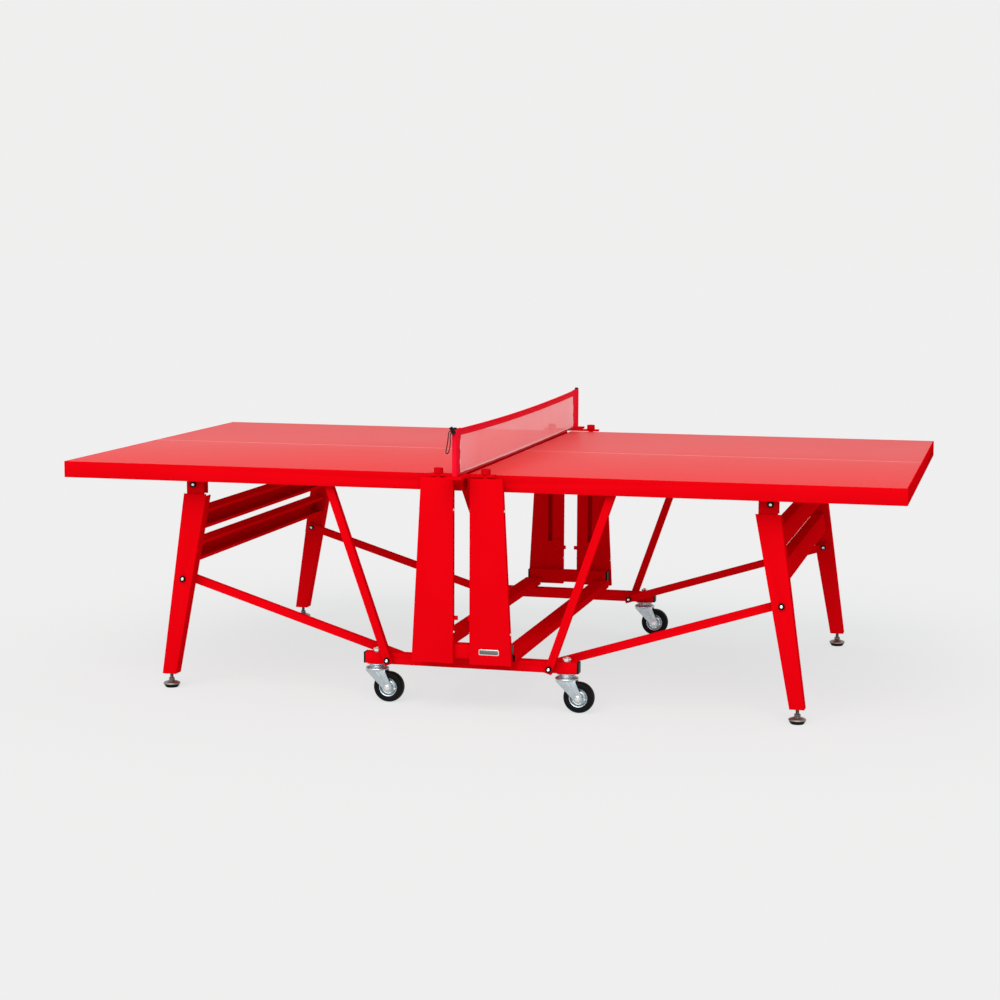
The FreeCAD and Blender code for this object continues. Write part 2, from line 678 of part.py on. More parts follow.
def foot():
    """Rubber pad, steel dome with its threaded stem, and a lock nut."""
    rubber = Part.makeCone(RUBBER_FOOT_RADIUS, RUBBER_RADIUS, RUBBER_HEIGHT, Vector(foot_x, leg_y, 0.0))
    rim_top = RUBBER_HEIGHT + PAD_RIM
    rim = post(PAD_RADIUS, foot_x, leg_y, (RUBBER_HEIGHT, rim_top))
    dome = Part.makeCone(PAD_RADIUS, NECK_RADIUS, PAD_HEIGHT - rim_top, Vector(foot_x, leg_y, rim_top))
    stem = post(STEM_RADIUS, foot_x, leg_y, (PAD_HEIGHT, FOOT_HEIGHT + STEM_IN_LEG))
    nut = hexagon(LOCK_NUT_ACROSS, LOCK_NUT, foot_x, leg_y, PAD_HEIGHT + LOCK_NUT_GAP)
    return [rubber, dome.fuse([rim, stem, nut]).removeSplitter()]


# Casters: both wheels of a rail trail the same way, so these are placed by their own x

def caster_fork(x):
    """Swivel head with two fork legs, and the axle bolt."""
    head_top = CASTER_HEIGHT - RACE_HEIGHT
    head_low = head_top - HEAD_HEIGHT
    wheel = (x + CASTER_TRAIL, WHEEL_RADIUS)
    head = Part.makeCone(HEAD_RADIUS, RACE_RADIUS, HEAD_HEIGHT, Vector(x, rail_y, head_low))
    reach = WHEEL_WIDTH / 2 + FORK_GAP
    top, half = FORK_TOP_WIDTH / 2, FORK_FOOT_WIDTH / 2
    fork = head
    for y in ((-reach - FORK_SHEET, -reach), (reach, reach + FORK_SHEET)):
        y = (rail_y + y[0], rail_y + y[1])
        arm = plate([(wheel[0] - half, wheel[1]), (wheel[0] + half, wheel[1]),
                     (x + top, head_low + FORK_JOIN), (x - top, head_low + FORK_JOIN)], y)
        arm = arm.fuse(rod(half, y, wheel[0], wheel[1])).removeSplitter()
        fork = fork.fuse(arm)
    fork = fork.removeSplitter().cut(post(bore, x, rail_y, (head_low, head_top)))
    fork = fork.cut(rod(AXLE_RADIUS, (rail_y - reach - FORK_SHEET, rail_y + reach + FORK_SHEET), *wheel))
    end = reach + FORK_SHEET
    axle = rod(AXLE_RADIUS, (rail_y - end - AXLE_HEAD, rail_y + end + AXLE_HEAD), *wheel)
    for y in ((-end - AXLE_HEAD, -end), (end, end + AXLE_HEAD)):
        axle = axle.fuse(rod(AXLE_HEAD_RADIUS, (rail_y + y[0], rail_y + y[1]), *wheel))
    return [fork, axle.removeSplitter()]


def caster_hub(x):
    """Pressed rim with a thin web and a bearing hub."""
    wheel = (x + CASTER_TRAIL, WHEEL_RADIUS)
    half = WHEEL_WIDTH / 2
    y = (rail_y - half, rail_y + half)
    hub = rod(RIM_RADIUS, y, *wheel)
    for face in ((y[0], rail_y - RIM_WEB / 2), (rail_y + RIM_WEB / 2, y[1])):
        dish = rod(RIM_RADIUS - RIM_SHEET, face, *wheel).cut(rod(HUB_RADIUS, face, *wheel))
        hub = hub.cut(dish)
    return [hub.cut(rod(AXLE_RADIUS + BORE_CLEARANCE, y, *wheel))]


def caster_tyre(x):
    wheel = (x + CASTER_TRAIL, WHEEL_RADIUS)
    half = WHEEL_WIDTH / 2
    y = (rail_y - half, rail_y + half)
    tread = rod(WHEEL_RADIUS, y, *wheel)
    corners = [edge for edge in tread.Edges if isinstance(edge.Curve, Part.Circle)]
    return [tread.makeFillet(TYRE_ROUND, corners).cut(rod(RIM_RADIUS, y, *wheel))]


# Net

def net_bracket():
    """T plate on both columns of a side, with the tab that carries the post."""
    z = (bracket_low, bracket_top)
    bar = block((-BRACKET_HALF_LENGTH, BRACKET_HALF_LENGTH), (column_in, column_out), z)
    half = BRACKET_TAB_WIDTH / 2
    bar = bar.fuse(block((-half, half), (column_out, bracket_end), z)).removeSplitter()
    for _, side in HALVES:
        bar = bar.fuse(post(BRACKET_BOSS_RADIUS, side * KNOB_X, column_mid, (column_top, bracket_low)))
        bar = bar.cut(post(KNOB_STEM_RADIUS + KNOB_CLEARANCE, side * KNOB_X, column_mid,
                           (column_top, bracket_top)))
    return bar


def net_post():
    return post(POST_RADIUS, 0.0, post_y, (bracket_top, net_top))


def post_cap():
    return post(POST_CAP_RADIUS, 0.0, post_y, (net_top, net_top + POST_CAP))


def sleeve_inner():
    return post_y + SLEEVE_RADIUS - SLEEVE_WIDTH


def net_mesh():
    half = MESH_THICKNESS / 2
    y = sleeve_inner()
    return block((-half, half), (-y, y), (net_low + HEM_HEIGHT, net_top - TAPE_HEIGHT))


def net_binding():
    """Top tape and bottom hem along the mesh, and a sleeve round each post."""
    half = BAND_THICKNESS / 2
    y = sleeve_inner()
    tape = block((-half, half), (-y, y), (net_top - TAPE_HEIGHT, net_top))
    hem = block((-half, half), (-y, y), (net_low, net_low + HEM_HEIGHT))
    return [tape, hem] + [placed(sleeve(), 1, side) for _, side in SIDES]


def sleeve():
    half = BAND_THICKNESS / 2
    z = (net_low, net_top)
    body = block((-half, half), (sleeve_inner(), post_y), z)
    body = body.fuse(post(SLEEVE_RADIUS, 0.0, post_y, z)).removeSplitter()
    return body.cut(post(POST_RADIUS, 0.0, post_y, z))


def net_knob():
    """Round knob on the bracket; its threaded stem goes into the column top."""
    knob = post(KNOB_RADIUS, KNOB_X, column_mid, (bracket_top, bracket_top + KNOB_HEIGHT))
    stem = post(KNOB_STEM_RADIUS, KNOB_X, column_mid, (bracket_top - KNOB_STEM_LENGTH, bracket_top))
    return knob.fuse(stem).removeSplitter()


def cord_lock():
    """Barrel and plunger, leaning against the near post's top."""
    barrel = Part.makeCylinder(LOCK_RADIUS, LOCK_LENGTH, Vector(0, 0, LOCK_SEAM - LOCK_LENGTH))
    plunger = Part.makeCylinder(PLUNGER_RADIUS, PLUNGER_LENGTH, Vector(0, 0, LOCK_SEAM))
    lock = barrel.fuse(plunger).removeSplitter()
    lock.rotate(Vector(0, 0, 0), Vector(0, 1, 0), -LOCK_TILT)
    lock.translate(lock_centre)
    return lock


def cord():
    """Tube of straight runs and tangent arcs along the route."""
    points = [Vector(*point) for point in CORD_ROUTE]
    edges = []
    last = points[0]
    length = 0.0
    for before, corner, after in zip(points, points[1:], points[2:]):
        back = (before - corner).normalize()
        ahead = (after - corner).normalize()
        turn = math.pi - back.getAngle(ahead)
        cut = CORNER_SHARE * min((before - corner).Length, (after - corner).Length)
        radius = cut / math.tan(turn / 2)
        start, end = corner + back * cut, corner + ahead * cut
        centre_way = (back + ahead).normalize()
        middle = corner + centre_way * (math.hypot(radius, cut) - radius)
        edges += [Part.LineSegment(last, start).toShape(), Part.Arc(start, middle, end).toShape()]
        length += (start - last).Length + radius * turn
        last = end
        print("cord radius", round(radius, 1), "turn", round(math.degrees(turn)))
    edges.append(Part.LineSegment(last, points[-1]).toShape())
    length += (points[-1] - last).Length
    ring = Part.Wire(Part.Circle(points[0], points[1] - points[0], CORD_DIAMETER / 2).toShape())
    tube = Part.Wire(edges).makePipeShell([ring], True, True)
    print("cord length", round(length, 1), "volume share",
          round(tube.Volume / (length * math.pi * CORD_DIAMETER ** 2 / 4), 4))
    return tube.cut(cord_lock())


def main():
    os.makedirs("parts", exist_ok=True)
    for side_name, side in SIDES:
        for half_name, half in HALVES:
            where = side_name + "_" + half_name
            save("column_" + where, [placed(column_shell(), half, side)])
            save("net_knob_" + where, [placed(net_knob(), half, side)])
            save("foot_" + where, [placed(shape, half, side) for shape in foot()])
            save("leg_" + where, [placed(shape, half, side) for shape in leg()])
            x = half * CASTER_X
            save("caster_fork_" + where, [placed(shape, 1, side) for shape in caster_fork(x)])
            save("caster_hub_" + where, [placed(shape, 1, side) for shape in caster_hub(x)])
            save("caster_tyre_" + where, [placed(shape, 1, side) for shape in caster_tyre(x)])

    for half_name, half in HALVES:
        save("panel_" + half_name, [placed(panel(), half, 1)])
        save("apron_" + half_name, [placed(wall, half, 1) for wall in apron()])
        save("hinge_brackets_" + half_name, both_sides(pin_bracket, half)
             + both_sides(leg_bracket, half) + both_sides(strut_block, half))
        save("top_bolts_" + half_name, both_sides(leg_hinge_bolt, half) + both_sides(strut_top_bolt, half))
        save("slot_pins_" + half_name, both_sides(slot_pin, half))
        bars = [placed(crossbar(drop), half, 1) for drop in BAR_DROPS]
        save("crossbars_" + half_name, bars + both_sides(gusset, half))
        save("leg_bolts_" + half_name, both_sides(leg_bolt, half))
        for node, make in (("struts_", strut), ("stays_", stay)):
            save(node + half_name, [placed(shape, half, side) for _, side in SIDES for shape in make()])

    save("slot_plates", quarters(slot_plate) + quarters(latch_plate))
    save("column_screws", column_screws())
    save("caster_rails", [placed(caster_rail(), 1, side) for _, side in SIDES])
    save("cross_beams", [placed(cross_beam(), half, 1) for _, half in HALVES])
    save("column_ties", [placed(column_tie(), 1, side) for _, side in SIDES])
    save("tube_end_caps", end_caps())
    save("base_bolts", quarters(base_bolt) + quarters(caster_stem))
    save("blank_badge", [badge()])

    save("net_brackets", [placed(net_bracket(), 1, side) for _, side in SIDES])
    save("net_posts", [placed(net_post(), 1, side) for _, side in SIDES])
    save("net_mesh", [net_mesh()])
    save("net_binding", net_binding())
    save("cord_lock", [cord_lock()] + [placed(post_cap(), 1, side) for _, side in SIDES])
    save("net_cord", [cord()])


main()
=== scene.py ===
import math

import bmesh
import bpy
from mathutils import Matrix, Vector, noise


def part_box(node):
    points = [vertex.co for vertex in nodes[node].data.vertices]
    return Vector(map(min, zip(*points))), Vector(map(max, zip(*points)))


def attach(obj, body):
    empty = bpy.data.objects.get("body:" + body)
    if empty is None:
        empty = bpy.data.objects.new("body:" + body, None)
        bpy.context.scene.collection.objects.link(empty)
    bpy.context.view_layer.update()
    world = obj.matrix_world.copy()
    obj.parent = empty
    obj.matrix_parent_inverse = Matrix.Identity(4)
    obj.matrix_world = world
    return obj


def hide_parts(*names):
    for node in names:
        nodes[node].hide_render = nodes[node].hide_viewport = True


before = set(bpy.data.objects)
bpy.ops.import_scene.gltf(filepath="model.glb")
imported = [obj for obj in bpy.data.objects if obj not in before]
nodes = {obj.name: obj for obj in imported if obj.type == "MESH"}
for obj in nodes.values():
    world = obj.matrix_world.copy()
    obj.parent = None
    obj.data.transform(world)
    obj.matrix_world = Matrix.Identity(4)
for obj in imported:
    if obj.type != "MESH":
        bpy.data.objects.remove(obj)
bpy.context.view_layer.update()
collection = bpy.context.scene.collection
print("frame loaded,", len(nodes), "CAD nodes")

sides = {"near": -1, "far": 1}
halves = {"left": -1, "right": 1}
quarters = [(side, half) for side in sides for half in halves]


# where the camera stands and how it is turned
view = {
    "place": (1.7425, -7.2241, 1.5189),
    "turn": -14.158,      # degrees from +Y
    "tilt": -7.156,
    "roll": 0.235,
    "lens": 77.15,
}


def makeCamera():
    turn, tilt, roll = (math.radians(view[key]) for key in ("turn", "tilt", "roll"))
    ahead = Vector((math.sin(turn) * math.cos(tilt), math.cos(turn) * math.cos(tilt), math.sin(tilt)))
    level = Vector((math.cos(turn), -math.sin(turn), 0))
    above = level.cross(ahead)
    right = level * math.cos(roll) + above * math.sin(roll)
    up = above * math.cos(roll) - level * math.sin(roll)
    camera = bpy.data.objects.new("camera", bpy.data.cameras.new("camera"))
    camera.matrix_world = Matrix((right, up, -ahead)).transposed().to_4x4()
    camera.location = view["place"]
    camera.data.lens = view["lens"]
    collection.objects.link(camera)
    bpy.context.scene.camera = camera


makeCamera()
print("camera placed")


class Value:
    # a socket that can be used in plain arithmetic
    def __init__(self, finish, socket):
        self.finish = finish
        self.socket = socket

    def maths(self, operation, first, second=0.0):
        return self.finish.add("ShaderNodeMath", {"operation": operation}, {0: first, 1: second})

    def __add__(self, other):
        return self.maths("ADD", self, other)

    def __radd__(self, other):
        return self.maths("ADD", other, self)

    def __sub__(self, other):
        return self.maths("SUBTRACT", self, other)

    def __rsub__(self, other):
        return self.maths("SUBTRACT", other, self)

    def __mul__(self, other):
        return self.maths("MULTIPLY", self, other)

    def __rmul__(self, other):
        return self.maths("MULTIPLY", other, self)

    def __truediv__(self, other):
        return self.maths("DIVIDE", self, other)

    def size(self):
        return self.maths("ABSOLUTE", self)

    def most(self, other):
        return self.maths("MAXIMUM", self, other)

    def wave(self, period):
        # rises from 0 to 1 and back over one period
        return self.maths("PINGPONG", self, period / 2) / (period / 2)

    def step(self, low, high):
        # 0 below low, 1 above high
        return self.finish.add("ShaderNodeMapRange", {"clamp": True, "interpolation_type": "SMOOTHSTEP"},
                               {"Value": self, "From Min": low, "From Max": high})


class Finish:
    def __init__(self, name):
        self.material = bpy.data.materials.new(name)
        self.material.use_nodes = True
        self.tree = self.material.node_tree
        self.tree.nodes.clear()
        self.place = None

    def add(self, kind, settings, inputs, output=0):
        node = self.tree.nodes.new(kind)
        for key, setting in settings.items():
            setattr(node, key, setting)
        for key, given in inputs.items():
            if isinstance(given, Value):
                self.tree.links.new(given.socket, node.inputs[key])
            else:
                node.inputs[key].default_value = given
        return Value(self, node.outputs[output])

    def where(self):
        # place on the piece, in metres
        if self.place is None:
            self.place = self.add("ShaderNodeTexCoord", {}, {}, "Object")
        return self.place

    def along(self, axis):
        return self.add("ShaderNodeSeparateXYZ", {}, {0: self.where()}, axis)

    def noise(self, scale, detail, stretch=None):
        spot = self.where()
        if stretch:
            spot = self.add("ShaderNodeVectorMath", {"operation": "MULTIPLY"}, {0: spot, 1: stretch})
        return self.add("ShaderNodeTexNoise", {}, {"Vector": spot, "Scale": scale, "Detail": detail})

    def mix(self, share, first, second):
        rgb = [given if isinstance(given, Value) else (*given, 1.0) for given in (first, second)]
        return self.add("ShaderNodeMix", {"data_type": "RGBA"}, {0: share, 6: rgb[0], 7: rgb[1]}, 2)

    def bump(self, height, depth, strength):
        return self.add("ShaderNodeBump", {}, {"Height": height, "Distance": depth, "Strength": strength})

    def surface(self, values):
        shader = self.tree.nodes.new("ShaderNodeBsdfPrincipled")
        for key, given in values.items():
            if isinstance(given, Value):
                self.tree.links.new(given.socket, shader.inputs[key])
            elif isinstance(given, tuple):
                shader.inputs[key].default_value = (*given, 1.0)
            else:
                shader.inputs[key].default_value = given
        out = self.tree.nodes.new("ShaderNodeOutputMaterial")
        self.tree.links.new(shader.outputs[0], out.inputs["Surface"])
        return self


boardLook = {
    "red": (0.64, 0.007, 0.007),
    "redDeep": (0.59, 0.004, 0.005),
    "line": (0.95, 0.62, 0.60),
    "lineWidth": 0.0030,
    "lineBlur": 0.0004,
    "lineAbove": (0.7580, 0.7590),    # heights between which the centre line begins
    "cloud": 3.0,
    "speckle": 700.0,
    "rough": 0.44,
    "gloss": 0.34,
}


def boardFinish():
    board = Finish("coatedBoard")
    half, blur = boardLook["lineWidth"] / 2, boardLook["lineBlur"]
    mask = 1 - board.along(1).size().step(half - blur, half + blur)
    mask = mask * board.along(2).step(*boardLook["lineAbove"])
    cloud = board.noise(boardLook["cloud"], 3.0)
    speckle = board.noise(boardLook["speckle"], 2.0)
    base = board.mix(cloud, boardLook["redDeep"], boardLook["red"])
    return board.surface({
        "Base Color": board.mix(mask, base, boardLook["line"]),
        "Roughness": boardLook["rough"] + cloud * 0.06 + speckle * 0.05,
        "Normal": board.bump(speckle, 0.00008, 0.5),
        "Specular IOR Level": boardLook["gloss"],
    })


coatLook = {
    "red": (0.63, 0.001, 0.0045),
    "redDeep": (0.57, 0.0005, 0.003),
    "gloss": 0.0,
    "cloud": 5.0,
    "peel": 420.0,
}


def coatFinish(name, red, deep, rough):
    coat = Finish(name)
    cloud = coat.noise(coatLook["cloud"], 3.0)
    peel = coat.noise(coatLook["peel"], 3.0)
    return coat.surface({
        "Base Color": coat.mix(cloud, deep, red),
        "Roughness": rough + peel * 0.10 + cloud * 0.05,
        "Normal": coat.bump(peel, 0.00012, 0.55),
        "Specular IOR Level": coatLook["gloss"],
    })


def plainFinish(name, dark, light, rough, grain):
    finish = Finish(name)
    grainy = finish.noise(grain, 3.0)
    cloud = finish.noise(grain / 12, 2.0)
    return finish.surface({
        "Base Color": finish.mix(cloud, dark, light),
        "Roughness": rough + grainy * 0.12,
        "Normal": finish.bump(grainy, 0.0001, 0.5),
        "Specular IOR Level": 0.07,
    })


def zincFinish(name, dark, light, rough):
    zinc = Finish(name)
    streak = zinc.noise(180.0, 4.0, (1.0, 1.0, 0.15))
    spangle = zinc.noise(60.0, 2.0)
    return zinc.surface({
        "Base Color": zinc.mix(spangle, dark, light),
        "Metallic": 1.0,
        "Roughness": rough + streak * 0.16,
        "Normal": zinc.bump(streak, 0.00006, 0.4),
    })


clothLook = {
    "thread": (0.96, 0.36, 0.37),
    "threadDeep": (0.90, 0.30, 0.31),
    "edge": (0.92, 0.52, 0.52),
    "pitch": 0.0036,
    "strand": (0.22, 0.40),           # heights of the wave between which a strand begins
    "sideEdge": (0.012, 0.006),       # pale edge, inwards of the mesh's sides
    "lowEdge": (0.0075, 0.0095),
    "topEdge": (0.006, 0.002),
    "tape": (0.84, 0.004, 0.026),
    "tapeDark": (0.68, 0.002, 0.016),
    # the hem's dark red is partly its own colour and partly painted shade, standing in for the shadow line
    # along the foot of the net
    "hem": (0.54, 0.05, 0.06),
    "hemDark": (0.40, 0.02, 0.03),
    "weave": 0.0016,
}


def meshFinish(halfWidth, low, high):
    cloth = Finish("netMesh")
    across, up = cloth.along(1), cloth.along(2)
    pitch, strand = clothLook["pitch"], clothLook["strand"]
    strands = across.wave(pitch).step(*strand).most(up.wave(pitch).step(*strand))
    beside, below, above = clothLook["sideEdge"], clothLook["lowEdge"], clothLook["topEdge"]
    edge = across.size().step(halfWidth - beside[0], halfWidth - beside[1])
    edge = edge.most(1 - up.step(low + below[0], low + below[1]))
    edge = edge.most(up.step(high - above[0], high - above[1]))
    cloud = cloth.noise(9.0, 2.0, (1.0, 1.0, 0.25))
    thread = cloth.mix(cloud, clothLook["threadDeep"], clothLook["thread"])
    return cloth.surface({
        "Base Color": cloth.mix(edge, thread, clothLook["edge"]),
        "Alpha": (strands * 0.94).most(edge * 0.96) + 0.04,
        "Roughness": 0.75 + strands * 0.1,
        "Normal": cloth.bump(strands, 0.0004, 0.6),
        "Specular IOR Level": 0.2,
    })


def tapeFinish(name, light, dark):
    cloth = Finish(name)
    across, up = cloth.along(1), cloth.along(2)
    period = clothLook["weave"]
    weave = (across + up).wave(period) * 0.5 + (across - up).wave(period) * 0.5
    cloud = cloth.noise(40.0, 3.0)
    return cloth.surface({
        "Base Color": cloth.mix(weave * 0.6 + cloud * 0.4, dark, light),
        "Roughness": 0.72 + weave * 0.15,
        "Normal": cloth.bump(weave, 0.0003, 0.7),
        "Specular IOR Level": 0.04,
    })


# the route is in millimetres
cordLoop = {
    "width": 0.003,
    "length": 0.1429,
    "strand": 0.0012,
    "black": (0.003, 0.002, 0.003),
    "blackPale": (0.012, 0.010, 0.011),
    "route": [(-9.8, -907.0, 908.9), (-13.4, -907.6, 905.5), (-14.6, -908.4, 899.5),
              (-15.8, -908.7, 885.0), (-19.0, -908.3, 863.5), (-23.2, -907.8, 846.0),
              (-22.4, -907.6, 838.6), (-16.4, -907.4, 838.8), (-12.0, -907.2, 850.5),
              (-8.8, -907.3, 871.0), (-9.6, -907.4, 889.5), (-9.0, -907.2, 897.6),
              (-6.7, -907.0, 903.3)],
}


def braidFinish():
    cord = Finish("cordBraid")
    twist, pitch = cord.along(2) * 0.9, cordLoop["strand"]
    strand = (twist + cord.along(0)).wave(pitch) * (twist - cord.along(0)).wave(pitch)
    return cord.surface({
        "Base Color": cord.mix(strand, cordLoop["black"], cordLoop["blackPale"]),
        "Roughness": 0.6 + strand * 0.2,
        "Normal": cord.bump(strand, 0.0003, 0.8),
        "Specular IOR Level": 0.1,
    })


finishes = {
    "board": boardFinish(),
    "coat": coatFinish("powderCoat", coatLook["red"], coatLook["redDeep"], 0.40),
    "knob": coatFinish("knobRed", (0.52, 0.002, 0.006), (0.46, 0.001, 0.004), 0.34),
    "cap": plainFinish("capPlastic", (0.003, 0.003, 0.003), (0.008, 0.008, 0.009), 0.34, 500.0),
    "ring": plainFinish("boltRing", (0.002, 0.002, 0.002), (0.005, 0.005, 0.005), 0.26, 500.0),
    "bright": zincFinish("brightSteel", (0.80, 0.79, 0.76), (0.92, 0.91, 0.88), 0.14),
    "zinc": zincFinish("zincPlate", (0.40, 0.45, 0.48), (0.58, 0.64, 0.67), 0.30),
    "darkSteel": zincFinish("darkSteel", (0.12, 0.10, 0.09), (0.22, 0.19, 0.17), 0.30),
    "dome": zincFinish("padSteel", (0.22, 0.20, 0.18), (0.32, 0.29, 0.27), 0.36),
    "rubber": plainFinish("padRubber", (0.002, 0.002, 0.002), (0.006, 0.006, 0.006), 0.62, 400.0),
    "tyre": plainFinish("tyreRubber", (0.002, 0.002, 0.002), (0.006, 0.006, 0.006), 0.46, 260.0),
    "plate": zincFinish("nameplate", (0.13, 0.125, 0.12), (0.20, 0.19, 0.185), 0.34),
    "tape": tapeFinish("netTape", clothLook["tape"], clothLook["tapeDark"]),
    # the hem finish is darker than the tape: partly painted shade along the foot of the net
    "hem": tapeFinish("netHem", clothLook["hem"], clothLook["hemDark"]),
    "braid": braidFinish(),
}
print("finishes mixed")


def makeCord():
    curve = bpy.data.curves.new("cordLoop", "CURVE")
    curve.dimensions = "3D"
    spline = curve.splines.new("NURBS")
    route = [Vector(point) / 1000 for point in cordLoop["route"]]
    spline.points.add(len(route) - 1)
    for point, spot in zip(spline.points, route):
        point.co = (*spot, 1.0)
    spline.order_u = 3
    spline.use_endpoint_u = True
    curve.resolution_u = 10
    curve.bevel_depth = cordLoop["width"] / 2
    curve.bevel_resolution = 5
    curve.use_fill_caps = True
    curve.materials.append(finishes["braid"].material)
    cord = bpy.data.objects.new("cordLoop", curve)
    collection.objects.link(cord)
    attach(cord, "net_set")
    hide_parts("net_cord")


makeCord()
print("cord loop hung")


class Shape:
    # gathers the faces of one piece, each with the number of its finish
    def __init__(self):
        self.mesh = bmesh.new()

    def gather(self, part, finish, place=None):
        if place is not None:
            bmesh.ops.transform(part, matrix=place, verts=part.verts)
        bmesh.ops.recalc_face_normals(part, faces=part.faces)
        for face in part.faces:
            face.material_index = finish
        held = bpy.data.meshes.new("held")
        part.to_mesh(held)
        part.free()
        self.mesh.from_mesh(held)
        bpy.data.meshes.remove(held)

    def fromNode(self, node, rounding, keep=None, segments=2):
        # the CAD node's own shape with its sharp edges rounded over
        part = bmesh.new()
        part.from_mesh(nodes[node].data)
        bmesh.ops.remove_doubles(part, verts=part.verts, dist=1e-6)
        if keep:
            for island in islands(part):
                if not keep(*extent(island)):
                    bmesh.ops.delete(part, geom=island, context="VERTS")
        bmesh.ops.dissolve_limit(part, angle_limit=math.radians(0.4), verts=part.verts, edges=part.edges)
        sharp = [edge for edge in part.edges
                 if len(edge.link_faces) == 2 and edge.calc_face_angle() > math.radians(30)]
        bmesh.ops.bevel(part, geom=sharp, offset=rounding, offset_type="OFFSET", segments=segments,
                        profile=0.5, affect="EDGES", clamp_overlap=True, miter_outer="ARC")
        self.gather(part, 0)

    def slab(self, low, high, rounding):
        part = bmesh.new()
        size = Vector(high) - Vector(low)
        middle = (Vector(high) + Vector(low)) / 2
        bmesh.ops.create_cube(part, size=1.0,
                              matrix=Matrix.Translation(middle) @ Matrix.Diagonal((*size, 1.0)))
        bmesh.ops.bevel(part, geom=part.edges[:], offset=rounding, offset_type="OFFSET", segments=2,
                        profile=0.5, affect="EDGES", clamp_overlap=True)
        self.gather(part, 0)

    def turned(self, profile, place, finish=0, steps=32, across=None):
        # profile of (radius, height) round the local Z; across(angle) scales the radius
        part = bmesh.new()
        rings = []
        for radius, height in profile:
            if radius <= 0:
                rings.append([part.verts.new((0, 0, height))])
                continue
            ring = []
            for step in range(steps):
                angle = 2 * math.pi * step / steps
                spread = radius * (across(angle) if across else 1.0)
                ring.append(part.verts.new((spread * math.cos(angle), spread * math.sin(angle), height)))
            rings.append(ring)
        for below, above in zip(rings, rings[1:]):
            for step in range(steps):
                ahead = (step + 1) % steps
                corners = [below[step % len(below)], below[ahead % len(below)],
                           above[ahead % len(above)], above[step % len(above)]]
                part.faces.new(list(dict.fromkeys(corners)))
        for ring in (rings[0], rings[-1]):
            if len(ring) > 2 and profile[0] != profile[-1]:
                part.faces.new(ring)
        if profile[0] == profile[-1]:
            bmesh.ops.remove_doubles(part, verts=part.verts, dist=1e-7)
        self.gather(part, finish, place)

    def loft(self, sections):
        # joins outlines with the same number of points, each a list of (x, y, z)
        part = bmesh.new()
        rings = [[part.verts.new(point) for point in section] for section in sections]
        count = len(sections[0])
        for below, above in zip(rings, rings[1:]):
            for step in range(count):
                ahead = (step + 1) % count
                part.faces.new((below[step], below[ahead], above[ahead], above[step]))
        part.faces.new(rings[0])
        part.faces.new(rings[-1])
        self.gather(part, 0)

    def plate(self, outline, thickness, rounding, place, finish=0):
        # flat outline in local X and Y, thickened along local Z from 0
        part = bmesh.new()
        face = part.faces.new([part.verts.new((x, y, 0)) for x, y in outline])
        raised = bmesh.ops.extrude_face_region(part, geom=[face])
        bmesh.ops.translate(part, vec=(0, 0, thickness),
                            verts=[item for item in raised["geom"] if isinstance(item, bmesh.types.BMVert)])
        rim = [edge for edge in part.edges
               if len(edge.link_faces) == 2 and abs(edge.verts[0].co.z - edge.verts[1].co.z) < 1e-9]
        bmesh.ops.bevel(part, geom=rim, offset=rounding, offset_type="OFFSET", segments=2,
                        profile=0.5, affect="EDGES", clamp_overlap=True)
        self.gather(part, finish, place)

    def done(self, name, body, slot, coats, stands=(), smooth=35):
        mesh = bpy.data.meshes.new(name)
        self.mesh.to_mesh(mesh)
        self.mesh.free()
        for coat in coats:
            mesh.materials.append(finishes[coat].material)
        mesh.shade_smooth()
        mesh.set_sharp_from_angle(angle=math.radians(smooth))
        piece = bpy.data.objects.new(name, mesh)
        collection.objects.link(piece)
        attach(piece, body)
        if stands:
            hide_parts(*stands)
        return piece


def islands(part):
    left = set(part.verts)
    found = []
    while left:
        seed = left.pop()
        group, front = [seed], [seed]
        while front:
            vert = front.pop()
            for edge in vert.link_edges:
                other = edge.other_vert(vert)
                if other in left:
                    left.remove(other)
                    group.append(other)
                    front.append(other)
        found.append(group)
    return found


def extent(group):
    low = Vector([min(vert.co[axis] for vert in group) for axis in range(3)])
    high = Vector([max(vert.co[axis] for vert in group) for axis in range(3)])
    return low, high


def facing(spot, direction):
    # local Z along the direction
    return Matrix.Translation(spot) @ Vector(direction).to_track_quat("Z", "Y").to_matrix().to_4x4()


upright = Matrix(((1, 0, 0, 0), (0, 0, -1, 0), (0, 1, 0, 0), (0, 0, 0, 1)))    # local Y upwards


def soften(node, name, body, edge, slot="red_frame", coat="coat", segments=2):
    # a piece that keeps the CAD node's shape, with rounded edges
    shape = Shape()
    shape.fromNode(node, edge, segments=segments)
    shape.done(name, body, slot, [coat], [node])


# how far the edges are rounded, in metres
board = {"edge": 0.0006, "sheetEdge": 0.0011, "bracketEdge": 0.001}


def makeTop(half):
    low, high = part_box("panel_" + half)
    body = "top_" + half
    panel = Shape()
    panel.slab(low, high, board["edge"])
    panel.done("playingBoard." + half, body, "red_top", ["board"], ["panel_" + half])
    soften("apron_" + half, "apronSheet." + half, body, board["sheetEdge"])
    soften("hinge_brackets_" + half, "hingeBrackets." + half, body, board["bracketEdge"])


for half in halves:
    makeTop(half)
print("table halves done")


# edge rounding of the frame's pieces, in metres
frameEdge = {
    "column": 0.0013, "slotPlate": 0.0005, "rail": 0.0009, "beam": 0.0008, "cap": 0.0018, "screw": 0.0004,
    "tube": 0.0022, "leg": 0.0013, "bar": 0.0011, "pin": 0.0006, "bracket": 0.0013, "post": 0.0005,
}


